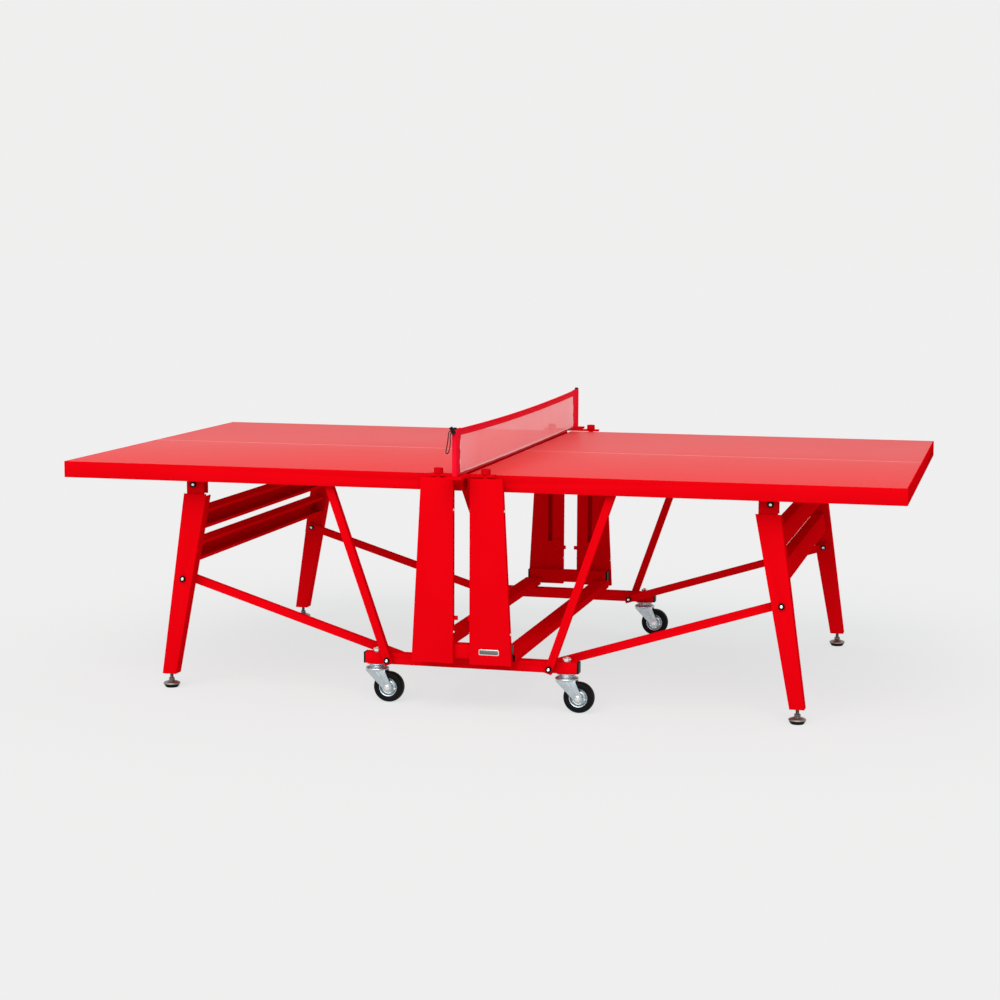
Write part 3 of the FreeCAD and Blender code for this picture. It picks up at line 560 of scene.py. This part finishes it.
def makeCarriage():
    for side, half in quarters:
        soften("column_%s_%s" % (side, half), "columnShell.%s.%s" % (side, half), "carriage",
               frameEdge["column"])
    soften("slot_plates", "slotPlates", "carriage", frameEdge["slotPlate"])
    soften("caster_rails", "casterRails", "carriage", frameEdge["rail"])
    soften("cross_beams", "crossBeams", "carriage", frameEdge["beam"])
    soften("column_ties", "columnTies", "carriage", frameEdge["beam"])
    soften("tube_end_caps", "tubeEndCaps", "carriage", frameEdge["cap"], "black_plastic", "cap", 3)


makeCarriage()
print("carriage done")


# pivots of the far right quarter, as (x, z)
pivots = {
    "base": (0.267, 0.145), "strutTop": (0.467, 0.720),
    "leg": (0.950, 0.687), "stay": (0.99035, 0.371),
}

# profiles are (radius, height) everywhere
bolt = {
    "shank": 0.006,
    "bush": 0.010,
    "drumEdge": 0.0008,
    "ring": [(0.0102, 0.0), (0.0102, 0.0050), (0.0093, 0.0064), (0.0078, 0.0070), (0.0062, 0.0068),
             (0.0057, 0.0056), (0.0056, 0.0)],
    "head": [(0.0055, 0.0), (0.0055, 0.0054), (0.0048, 0.0064), (0.0036, 0.0069), (0.0027, 0.0067),
             (0.0024, 0.0050), (0.0, 0.0050)],
}


def mirrored(spot, side, half):
    return Vector((spot[0] * halves[half], spot[1] * sides[side], spot[2]))


def addBolt(shape, pivot, face, outward, side, half, ring=0, bright=1):
    # the cap sits on the face and points away from or towards the middle
    x, z = pivots[pivot]
    place = facing(mirrored((x, face, z), side, half), (0, sides[side] * (1 if outward else -1), 0))
    shape.turned(bolt["ring"], place, ring, 40)
    shape.turned(bolt["head"], place, bright, 24)


def addDrum(shape, pivot, span, radius, side, half, finish=1):
    x, z = pivots[pivot]
    place = facing(mirrored((x, span[0], z), side, half), (0, sides[side], 0))
    length = span[1] - span[0]
    edge = min(bolt["drumEdge"], length / 4)
    profile = [(0, 0), (radius - edge, 0), (radius, edge), (radius, length - edge),
               (radius - edge, length), (0, length)]
    shape.turned(profile, place, finish, 32)


# distances along Y from the middle of the table to the faces that the bolts pass
reach = {
    "earIn": 0.642, "earOut": 0.678, "legWeb": 0.682, "gusset": 0.635,
    "strutIn": 0.714, "strutOut": 0.739, "stayIn": 0.6096, "stayOut": 0.6346,
    "railIn": 0.6686, "railOut": 0.7046, "block": 0.7595, "gap": 0.0004,
}


def isLong(low, high):
    # the bar itself, without its drums and caps
    return (high - low).x > 0.05


def makeLinkage(half):
    topBolts, legBolts, struts, stays = Shape(), Shape(), Shape(), Shape()
    struts.fromNode("struts_" + half, frameEdge["tube"], keep=isLong)
    stays.fromNode("stays_" + half, frameEdge["tube"], keep=isLong)
    shank, innerTop = bolt["shank"], reach["strutIn"] - reach["gap"]
    for side in sides:
        addBolt(topBolts, "leg", reach["earOut"], True, side, half)
        addBolt(topBolts, "leg", reach["earIn"], False, side, half)
        addDrum(topBolts, "leg", (reach["earIn"], reach["earOut"]), shank, side, half)
        addBolt(topBolts, "strutTop", innerTop, False, side, half)
        addDrum(topBolts, "strutTop", (innerTop, reach["block"]), shank, side, half)
        addBolt(legBolts, "stay", reach["legWeb"], True, side, half)
        addDrum(legBolts, "stay", (reach["gusset"], reach["legWeb"]), shank, side, half)
        addBolt(struts, "base", reach["strutOut"], True, side, half, 1, 2)
        addDrum(struts, "base", (reach["strutIn"], reach["strutOut"]), shank, side, half, 2)
        addBolt(stays, "stay", reach["stayIn"], False, side, half, 1, 2)
        addDrum(stays, "stay", (reach["stayIn"], reach["stayOut"]), shank, side, half, 2)
    boltCoats, barCoats = ["ring", "bright"], ["coat", "ring", "bright"]
    topBolts.done("topBolts." + half, "top_" + half, "steel", boltCoats, ["top_bolts_" + half])
    legBolts.done("legBolts." + half, "legs_" + half, "steel", boltCoats, ["leg_bolts_" + half])
    struts.done("struts." + half, "struts_" + half, "red_frame", barCoats, ["struts_" + half])
    stays.done("stays." + half, "stays_" + half, "red_frame", barCoats, ["stays_" + half])

    soften("slot_pins_" + half, "slotPins." + half, "slot_pins_" + half, frameEdge["pin"], "steel", "zinc")
    soften("crossbars_" + half, "crossbars." + half, "legs_" + half, frameEdge["bar"])
    for side in sides:
        soften("leg_%s_%s" % (side, half), "leg.%s.%s" % (side, half), "legs_" + half, frameEdge["leg"])


for half in halves:
    makeLinkage(half)
print("legs, struts and stays done")


def hexagonal(angle):
    return math.cos(math.pi / 6) / math.cos(angle % (math.pi / 3) - math.pi / 6)


def thread(radius, low, high, pitch):
    # profile of a threaded stem
    profile = [(0, low)]
    turns = int((high - low) / pitch)
    for turn in range(turns):
        start = low + turn * pitch
        profile += [(radius * 0.90, start), (radius, start + pitch * 0.45),
                    (radius * 0.90, start + pitch * 0.9)]
    return profile + [(radius * 0.8, high), (0, high)]


def nutProfile(across, low, high):
    corner = across / math.sqrt(3)
    edge = 0.0012
    return [(0, low), (corner - edge, low), (corner, low + edge * 0.7), (corner, high - edge * 0.7),
            (corner - edge, high), (0, high)]


# nut is (across flats, low, high), stem is (radius, low, high, pitch)
foot = {
    "x": 1.044, "y": 0.660,
    "rubber": [(0, 0), (0.0196, 0), (0.0210, 0.0010), (0.0230, 0.0046), (0.0226, 0.0052), (0.0240, 0.0058),
               (0.0262, 0.0098), (0.0270, 0.0114), (0, 0.0114)],
    "dome": [(0, 0.0112), (0.0272, 0.0112), (0.0280, 0.0119), (0.0281, 0.0138), (0.0274, 0.0151),
             (0.0246, 0.0170), (0.0200, 0.0190), (0.0150, 0.0206), (0.0120, 0.0216), (0.0114, 0.0226),
             (0, 0.0228)],
    "nut": (0.0175, 0.0236, 0.0316),
    "stem": (0.006, 0.0226, 0.088, 0.00175),
}


def makeFoot(side, half):
    node = "foot_%s_%s" % (side, half)
    place = Matrix.Translation(mirrored((foot["x"], foot["y"], 0), side, half))
    shape = Shape()
    shape.turned(foot["rubber"], place, 0, 48)
    shape.turned(foot["dome"], place, 1, 48)
    shape.turned(nutProfile(*foot["nut"]), place, 2, 48, hexagonal)
    shape.turned(thread(*foot["stem"]), place, 2, 24)
    shape.done("foot.%s.%s" % (side, half), node, "steel", ["rubber", "dome", "darkSteel"], [node], 42)


# the wheel's profiles are one half, from its middle plane outwards
caster = {
    "x": 0.315, "y": 0.6866, "trail": 0.040, "axle": 0.050,
    "crown": [(0.0062, 0.1070), (0.0365, 0.1070), (0.0380, 0.1078), (0.0382, 0.1096), (0.0372, 0.1116),
              (0.0335, 0.1140), (0.0300, 0.1152), (0.0290, 0.1166), (0.0262, 0.1180), (0.0252, 0.1208),
              (0.0062, 0.1208)],
    "race": [(0, 0.1216), (0.0240, 0.1216), (0.0248, 0.1224), (0.0250, 0.1240), (0.0330, 0.1246),
             (0.0336, 0.1254), (0.0332, 0.1269), (0, 0.1269)],
    "kingHead": (0.018, 0.1020, 0.1066),
    "kingShank": (0.0059, 0.1066, 0.1631),
    "washer": [(0, 0.1631), (0.0132, 0.1631), (0.0138, 0.1636), (0.0138, 0.1646), (0.0132, 0.1651),
               (0, 0.1651)],
    "kingNut": (0.022, 0.1650, 0.1742),
    "kingTip": (0.006, 0.1742, 0.1782, 0.00125),
    "forkFace": 0.0195, "forkSheet": 0.003, "forkEdge": 0.0009,
    "top": 0.032, "foot": 0.015, "topHeight": 0.1082, "topStraight": 0.006,
    "footStart": 205, "footSpan": 150, "footSteps": 12,
    "rib": [(-0.003, 0.1040), (0.030, 0.0600), (0.0335, 0.0615), (0.0035, 0.1040)],
    "ribSheet": 0.0022, "ribEdge": 0.0010, "ribSink": 0.0006,
    "axleNut": (0.0155, 0.0, 0.005),
    "axleTip": [(0, 0.0045), (0.0042, 0.0045), (0.0044, 0.0062), (0.0036, 0.0072), (0, 0.0072)],
    "axleShank": (0.005, -0.0225, 0.0225),
    "rim": [(0.0052, -0.0172), (0.0118, -0.0172), (0.0132, -0.0164), (0.0140, -0.0100), (0.0158, -0.0060),
            (0.0195, -0.0046), (0.0235, -0.0060), (0.0262, -0.0100), (0.0275, -0.0150), (0.0296, -0.0159),
            (0.0303, -0.0148), (0.0301, -0.0110)],
    "rivets": 6, "rivetRing": 0.0200, "rivetTurn": 20,
    "rivet": [(0, 0), (0.0034, 0), (0.0034, 0.0052), (0.0026, 0.0062), (0, 0.0062)],
    "tyre": [(0.0297, -0.0120), (0.0308, -0.0150), (0.0335, -0.0162), (0.0420, -0.0164), (0.0446, -0.0158),
             (0.0466, -0.0150), (0.0486, -0.0118), (0.0496, -0.0078), (0.0500, -0.0034)],
}


def bothHalves(profile):
    return profile + [(radius, -height) for radius, height in reversed(profile)] + profile[:1]


def rod(radius, low, high):
    return [(0, low), (radius, low), (radius, high), (0, high)]


def forkOutline():
    # wide at the crown, round about the axle; local X along the rail, Y upwards
    trail, foot, top = caster["trail"], caster["foot"], caster["topHeight"]
    straight = top - caster["topStraight"]
    outline = [(-caster["top"], top), (-caster["top"], straight)]
    for step in range(caster["footSteps"] + 1):
        angle = math.radians(caster["footStart"] + step * caster["footSpan"] / caster["footSteps"])
        outline.append((trail + foot * math.cos(angle), caster["axle"] + foot * math.sin(angle)))
    return outline + [(caster["top"], straight), (caster["top"], top)]


def makeFork(where, x, y):
    fork = Shape()
    fork.turned(caster["crown"] + caster["crown"][:1], Matrix.Translation((x, y, 0)), 0, 56)
    sheet, rib = caster["forkSheet"], caster["ribSheet"]
    outside = caster["forkFace"] + sheet
    for face in (-1, 1):
        # both plates are thickened towards -Y
        back = outside if face > 0 else -caster["forkFace"]
        fork.plate(forkOutline(), sheet, caster["forkEdge"], Matrix.Translation((x, y + back, 0)) @ upright)
        ribBack = y + face * outside + (rib - caster["ribSink"] if face > 0 else caster["ribSink"])
        fork.plate(caster["rib"], rib, caster["ribEdge"], Matrix.Translation((x, ribBack, 0)) @ upright)
        hub = facing((x + caster["trail"], y + face * outside, caster["axle"]), (0, face, 0))
        fork.turned(nutProfile(*caster["axleNut"]), hub, 1, 48, hexagonal)
        fork.turned(caster["axleTip"], hub, 1, 20)
    axle = facing((x + caster["trail"], y, caster["axle"]), (0, 1, 0))
    fork.turned(rod(*caster["axleShank"]), axle, 1, 24)
    fork.done("casterFork." + where, "caster_" + where, "steel", ["zinc", "bright"], ["caster_fork_" + where])


def makeWheel(where, x, y):
    centre = facing((x + caster["trail"], y, caster["axle"]), (0, 1, 0))
    rim = Shape()
    rim.turned(bothHalves(caster["rim"]), centre, 0, 72)
    for step in range(caster["rivets"]):
        angle = math.radians(step * 360 / caster["rivets"] + caster["rivetTurn"])
        spot = centre @ (caster["rivetRing"] * Vector((math.cos(angle), math.sin(angle), 0)))
        for face in (-1, 1):
            rim.turned(caster["rivet"], facing(spot, (0, face, 0)), 1, 20)
    rim.done("casterRim." + where, "wheel_" + where, "steel", ["zinc", "bright"], ["caster_hub_" + where])
    tyre = Shape()
    tyre.turned(bothHalves(caster["tyre"]), centre, 0, 96)
    tyre.done("casterTyre." + where, "wheel_" + where, "tyre", ["tyre"], ["caster_tyre_" + where])


def makeCaster(side, half):
    where = "%s_%s" % (side, half)
    x, y = halves[half] * caster["x"], sides[side] * caster["y"]
    makeFork(where, x, y)
    makeWheel(where, x, y)


for side, half in quarters:
    makeFoot(side, half)
    makeCaster(side, half)
print("feet and casters done")


def makeBaseBolts():
    shape = Shape()
    innerEnd, outerEnd = reach["stayIn"] - reach["gap"], reach["strutIn"] - reach["gap"]
    for side, half in quarters:
        addBolt(shape, "base", innerEnd, False, side, half)
        addDrum(shape, "base", (innerEnd, outerEnd), bolt["shank"], side, half)
        addDrum(shape, "base", (reach["railOut"], outerEnd), bolt["bush"], side, half)
        addDrum(shape, "base", (reach["stayOut"] + reach["gap"], reach["railIn"]), bolt["bush"], side, half)
        place = Matrix.Translation(mirrored((caster["x"], caster["y"], 0), side, half))
        shape.turned(caster["race"], place, 2, 56)
        shape.turned(caster["washer"], place, 2, 40)
        shape.turned(nutProfile(*caster["kingNut"]), place, 1, 48, hexagonal)
        shape.turned(nutProfile(*caster["kingHead"]), place, 2, 48, hexagonal)
        shape.turned(thread(*caster["kingTip"]), place, 1, 24)
        shape.turned(rod(*caster["kingShank"]), place, 2, 24)
    shape.done("baseBolts", "carriage", "steel", ["ring", "bright", "zinc"], ["base_bolts"])
    soften("column_screws", "columnScrews", "carriage", frameEdge["screw"], "steel", "bright")


makeBaseBolts()


# the blank name plate: a bright rim round a darker field
plate = {
    "round": 0.004, "sheet": 0.0008, "edge": 0.0002,
    "border": 0.0022, "fieldRound": 0.0028, "fieldSink": 0.0007, "field": 0.0003, "fieldEdge": 0.00012,
}


def roundedOutline(low, high, radius, steps=5):
    outline = []
    corners = ((high[0], high[1], 0), (low[0], high[1], 90), (low[0], low[1], 180), (high[0], low[1], 270))
    for cx, cy, start in corners:
        for step in range(steps + 1):
            angle = math.radians(start + 90 * step / steps)
            outline.append((cx - radius * (1 if cx == high[0] else -1) + radius * math.cos(angle),
                            cy - radius * (1 if cy == high[1] else -1) + radius * math.sin(angle)))
    return outline


def makeNameplate():
    low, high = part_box("blank_badge")
    badge = Shape()
    outline = roundedOutline((low.x, low.z), (high.x, high.z), plate["round"])
    badge.plate(outline, plate["sheet"], plate["edge"], Matrix.Translation((0, high.y, 0)) @ upright)
    inset = plate["border"]
    field = roundedOutline((low.x + inset, low.z + inset), (high.x - inset, high.z - inset),
                           plate["fieldRound"])
    badge.plate(field, plate["field"], plate["fieldEdge"],
                Matrix.Translation((0, high.y - plate["fieldSink"], 0)) @ upright, 1)
    badge.done("nameplate", "carriage", "badge_metal", ["bright", "plate"], ["blank_badge"])


makeNameplate()
print("bolts and name plate done")


knob = {
    "profile": [(0, 0.7655), (0.0138, 0.7655), (0.0149, 0.7663), (0.0150, 0.7677), (0.0150, 0.7799),
                (0.0146, 0.7817), (0.0136, 0.7825), (0.0104, 0.7826), (0.0092, 0.7821), (0, 0.7821)],
    "x": 0.0765, "y": 0.8015, "flutes": 30, "depth": 0.022,
    "stem": (0.004, 0.7475, 0.7655, 0.00125),
}


def fluted(angle):
    return 1 - knob["depth"] * (0.5 + 0.5 * math.cos(knob["flutes"] * angle))


def makeKnob(side, half):
    where = "%s_%s" % (side, half)
    place = Matrix.Translation(mirrored((knob["x"], knob["y"], 0), side, half))
    shape = Shape()
    shape.turned(knob["profile"], place, 0, 180, fluted)
    shape.turned(thread(*knob["stem"]), place, 1, 20)
    shape.done("netKnob.%s.%s" % (side, half), "knob_" + where, "knob_red", ["knob", "zinc"],
               ["net_knob_" + where], 30)


soften("net_brackets", "netBrackets", "net_set", frameEdge["bracket"])
soften("net_posts", "netPosts", "net_set", frameEdge["post"])
for side, half in quarters:
    makeKnob(side, half)
print("net holders done")


# half is from the middle to the sleeves' inner edge, post to the middle of a post
net = {
    "post": 0.889, "half": 0.829, "low": 0.7665, "top": 0.9125,
    "tape": 0.022, "hem": 0.006, "sagTop": 0.0110, "sagLow": 0.0045,
    "steps": 96, "rows": 10, "wrinkle": 0.0014,
    "tuck": 0.006, "bandTuck": 0.004,    # mesh and bands inside the sleeves
    "fold": 0.0024, "hemThick": 0.0012,
    "sleeveRound": 0.0082, "ply": 0.0013, "sleeveSteps": 44,
    "waves": ((0.0030, 120.0), (0.0016, 290.0)), "taper": 0.012,    # (depth, turns in radians per metre)
}


def sagAt(y, height):
    # how far a point of the net hangs below its straight line
    share = (height - net["low"]) / (net["top"] - net["low"])
    amount = net["sagLow"] + (net["sagTop"] - net["sagLow"]) * share
    return amount * (1 - (y / net["post"]) ** 2)


def netPoint(x, y, z):
    # sag, and gentle wrinkles that die out towards the tape and the posts
    free = max(0.0, min(1.0, (net["top"] - net["tape"] - z) / 0.05))
    free *= min(1.0, (net["half"] - abs(y)) / 0.03 + 0.2)
    fold = math.sin(y * 26.0) * 0.5 + math.sin(y * 61.0 + 1.3) * 0.3
    fold += noise.noise(Vector((y * 14.0, z * 8.0, 0)))
    return (x + net["wrinkle"] * free * fold, y, z - sagAt(y, z))


def makeMesh():
    low, high = net["low"] + net["hem"] - net["bandTuck"], net["top"] - net["tape"] + net["tuck"]
    edge = net["half"] + net["tuck"]
    grid = bmesh.new()
    rows = []
    for row in range(net["rows"] + 1):
        z = low + (high - low) * row / net["rows"]
        rows.append([grid.verts.new(netPoint(0, -edge + 2 * edge * step / net["steps"], z))
                     for step in range(net["steps"] + 1)])
    for below, above in zip(rows, rows[1:]):
        for step in range(net["steps"]):
            grid.faces.new((below[step], below[step + 1], above[step + 1], above[step]))
    mesh = bpy.data.meshes.new("netMesh")
    grid.to_mesh(mesh)
    grid.free()
    mesh.materials.append(meshFinish(net["half"], net["low"], net["top"] - net["tape"]).material)
    mesh.shade_smooth()
    piece = bpy.data.objects.new("netMesh", mesh)
    collection.objects.link(piece)
    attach(piece, "net_set")
    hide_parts("net_mesh")
    return piece, (2 * edge, high - low)


def band(name, outline, slot, finish):
    # outline of (x, z) swept along the net, following the sag
    shape = Shape()
    sections = []
    edge = net["half"] + net["bandTuck"]
    for step in range(net["steps"] + 1):
        y = -edge + 2 * edge * step / net["steps"]
        sections.append([netPoint(x, y, z) for x, z in outline])
    shape.loft(sections)
    return shape.done(name, "net_set", slot, [finish], (), 50)


def tapeOutline():
    # a fold over the top cord, then two plies down to the stitched edge
    top, low, fold = net["top"], net["top"] - net["tape"], net["fold"]
    arc = [(fold * math.cos(math.radians(a)), top - fold + fold * math.sin(math.radians(a)))
           for a in range(-30, 211, 24)]
    left = [(-0.0012, top - 0.0062), (-0.0014, low + 0.004), (-0.0019, low + 0.0026), (-0.0013, low + 0.0012),
            (-0.0011, low)]
    return arc + left + [(-x, z) for x, z in reversed(left)]


def hemOutline():
    low, high, thick = net["low"], net["low"] + net["hem"], net["hemThick"]
    right = [(0.0009, low), (thick, low + 0.001), (thick, high - 0.001), (0.0008, high)]
    return right + [(-x, z) for x, z in reversed(right)]


def sleeveOutline(z, side):
    # round the post, then two plies towards the mesh with a wavy stitched edge
    share = (z - net["low"]) / (net["top"] - net["low"])
    slow, quick = net["waves"]
    wave = slow[0] * math.sin(z * slow[1] + side) + quick[0] * math.sin(z * quick[1])
    wave -= net["taper"] * share ** 4
    inner, post, radius, ply = net["half"] + wave, net["post"], net["sleeveRound"], net["ply"]
    arc = [(radius * math.cos(math.radians(a)), post + radius * math.sin(math.radians(a)))
           for a in range(-50, 231, 14)]
    tail = [(-0.0026, post - 0.0105), (-ply, post - 0.016), (-ply, inner + 0.006),
            (-ply - 0.0005, inner + 0.0036), (-ply * 0.8, inner)]
    outline = arc + tail + [(-x, y) for x, y in reversed(tail)]
    return [(x, y * side, z) for x, y in outline]


def makeSleeve(name, side):
    height, steps = net["top"] - net["low"], net["sleeveSteps"]
    shape = Shape()
    shape.loft([sleeveOutline(net["low"] + height * step / steps, side) for step in range(steps + 1)])
    return shape.done("netSleeve." + name, "net_set", "net_band", ["tape"], (), 50)


def makeNet():
    mesh, flat = makeMesh()
    tape = band("netTape", tapeOutline(), "net_band", "tape")
    hem = band("netHem", hemOutline(), "net_fabric", "hem")
    sleeves = [makeSleeve(name, side) for name, side in sides.items()]
    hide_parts("net_binding")


makeNet()
print("net done")


# the cord lock, and the caps of the posts
lock = {
    "centre": (-0.002, -0.907, 0.910), "tilt": 31.0,
    "barrel": [(0, -0.0115), (0.0058, -0.0115), (0.0070, -0.0106), (0.0073, -0.0092), (0.0073, -0.0072),
               (0.0069, -0.0066), (0.0069, -0.0052), (0.0073, -0.0046), (0.0073, -0.0012), (0.0069, -0.0006),
               (0.0069, 0.0008), (0.0073, 0.0014), (0.0072, 0.0026), (0.0064, 0.0035), (0, 0.0035)],
    "plunger": [(0, 0.0030), (0.0056, 0.0030), (0.0056, 0.0095), (0.0060, 0.0102), (0.0060, 0.0112),
                (0.0054, 0.0122), (0.0030, 0.0125), (0, 0.0125)],
    "cap": [(0, 0.9125), (0.0066, 0.9125), (0.0070, 0.9130), (0.0070, 0.9158), (0.0062, 0.9176),
            (0.0036, 0.9184), (0, 0.9185)],
}


def makeLock():
    shape = Shape()
    tilt = math.radians(lock["tilt"])
    place = facing(lock["centre"], (-math.sin(tilt), 0, math.cos(tilt)))
    shape.turned(lock["barrel"], place, 0, 40)
    shape.turned(lock["plunger"], place, 0, 36)
    for side in sides.values():
        shape.turned(lock["cap"], Matrix.Translation((0, side * net["post"], 0)), 0, 36)
    shape.done("cordLock", "net_set", "black_plastic", ["cap"], ["cord_lock"])


makeLock()
print("cord lock done")


# the floor gives off the glow, which keeps its shade pale
studio = {
    "floor": (0.166, 0.13, 0.13),
    "floorDeep": (0.16517, 0.12935, 0.12935),
    "glow": (0.637, 0.686, 0.686),
    "sky": (0.863, 0.863, 0.860),
    "half": 90.0,
    "key": 2.45, "keyTurn": 0, "keyRise": 42, "keySoft": 60,    # watts per square metre, degrees
}


def makeFloor():
    floor = Finish("studioFloor")
    cloud = floor.noise(1.5, 2.0)
    floor.surface({
        "Base Color": floor.mix(cloud, studio["floorDeep"], studio["floor"]),
        "Roughness": 0.9,
        "Specular IOR Level": 0.0,
        "Emission Color": studio["glow"],
        "Emission Strength": 1.0,
    })
    grid = bmesh.new()
    bmesh.ops.create_grid(grid, x_segments=4, y_segments=4, size=studio["half"])
    mesh = bpy.data.meshes.new("studioFloor")
    grid.to_mesh(mesh)
    grid.free()
    mesh.materials.append(floor.material)
    piece = bpy.data.objects.new("studioFloor", mesh)
    collection.objects.link(piece)


def makeSky():
    world = bpy.data.worlds.new("studioSky")
    bpy.context.scene.world = world
    world.use_nodes = True
    world.node_tree.nodes["Background"].inputs["Color"].default_value = (*studio["sky"], 1.0)


def makeKeyLight():
    lamp = bpy.data.lights.new("keyLight", "SUN")
    lamp.energy = studio["key"]
    lamp.angle = math.radians(studio["keySoft"])
    light = bpy.data.objects.new("keyLight", lamp)
    turn, rise = math.radians(studio["keyTurn"]), math.radians(studio["keyRise"])
    aim = Vector((-math.sin(turn) * math.cos(rise), math.cos(turn) * math.cos(rise), -math.sin(rise)))
    light.rotation_euler = aim.to_track_quat("-Z", "Y").to_euler()
    collection.objects.link(light)


makeFloor()
makeSky()
makeKeyLight()
bpy.context.scene.view_settings.view_transform = "Standard"
print("floor and light done")
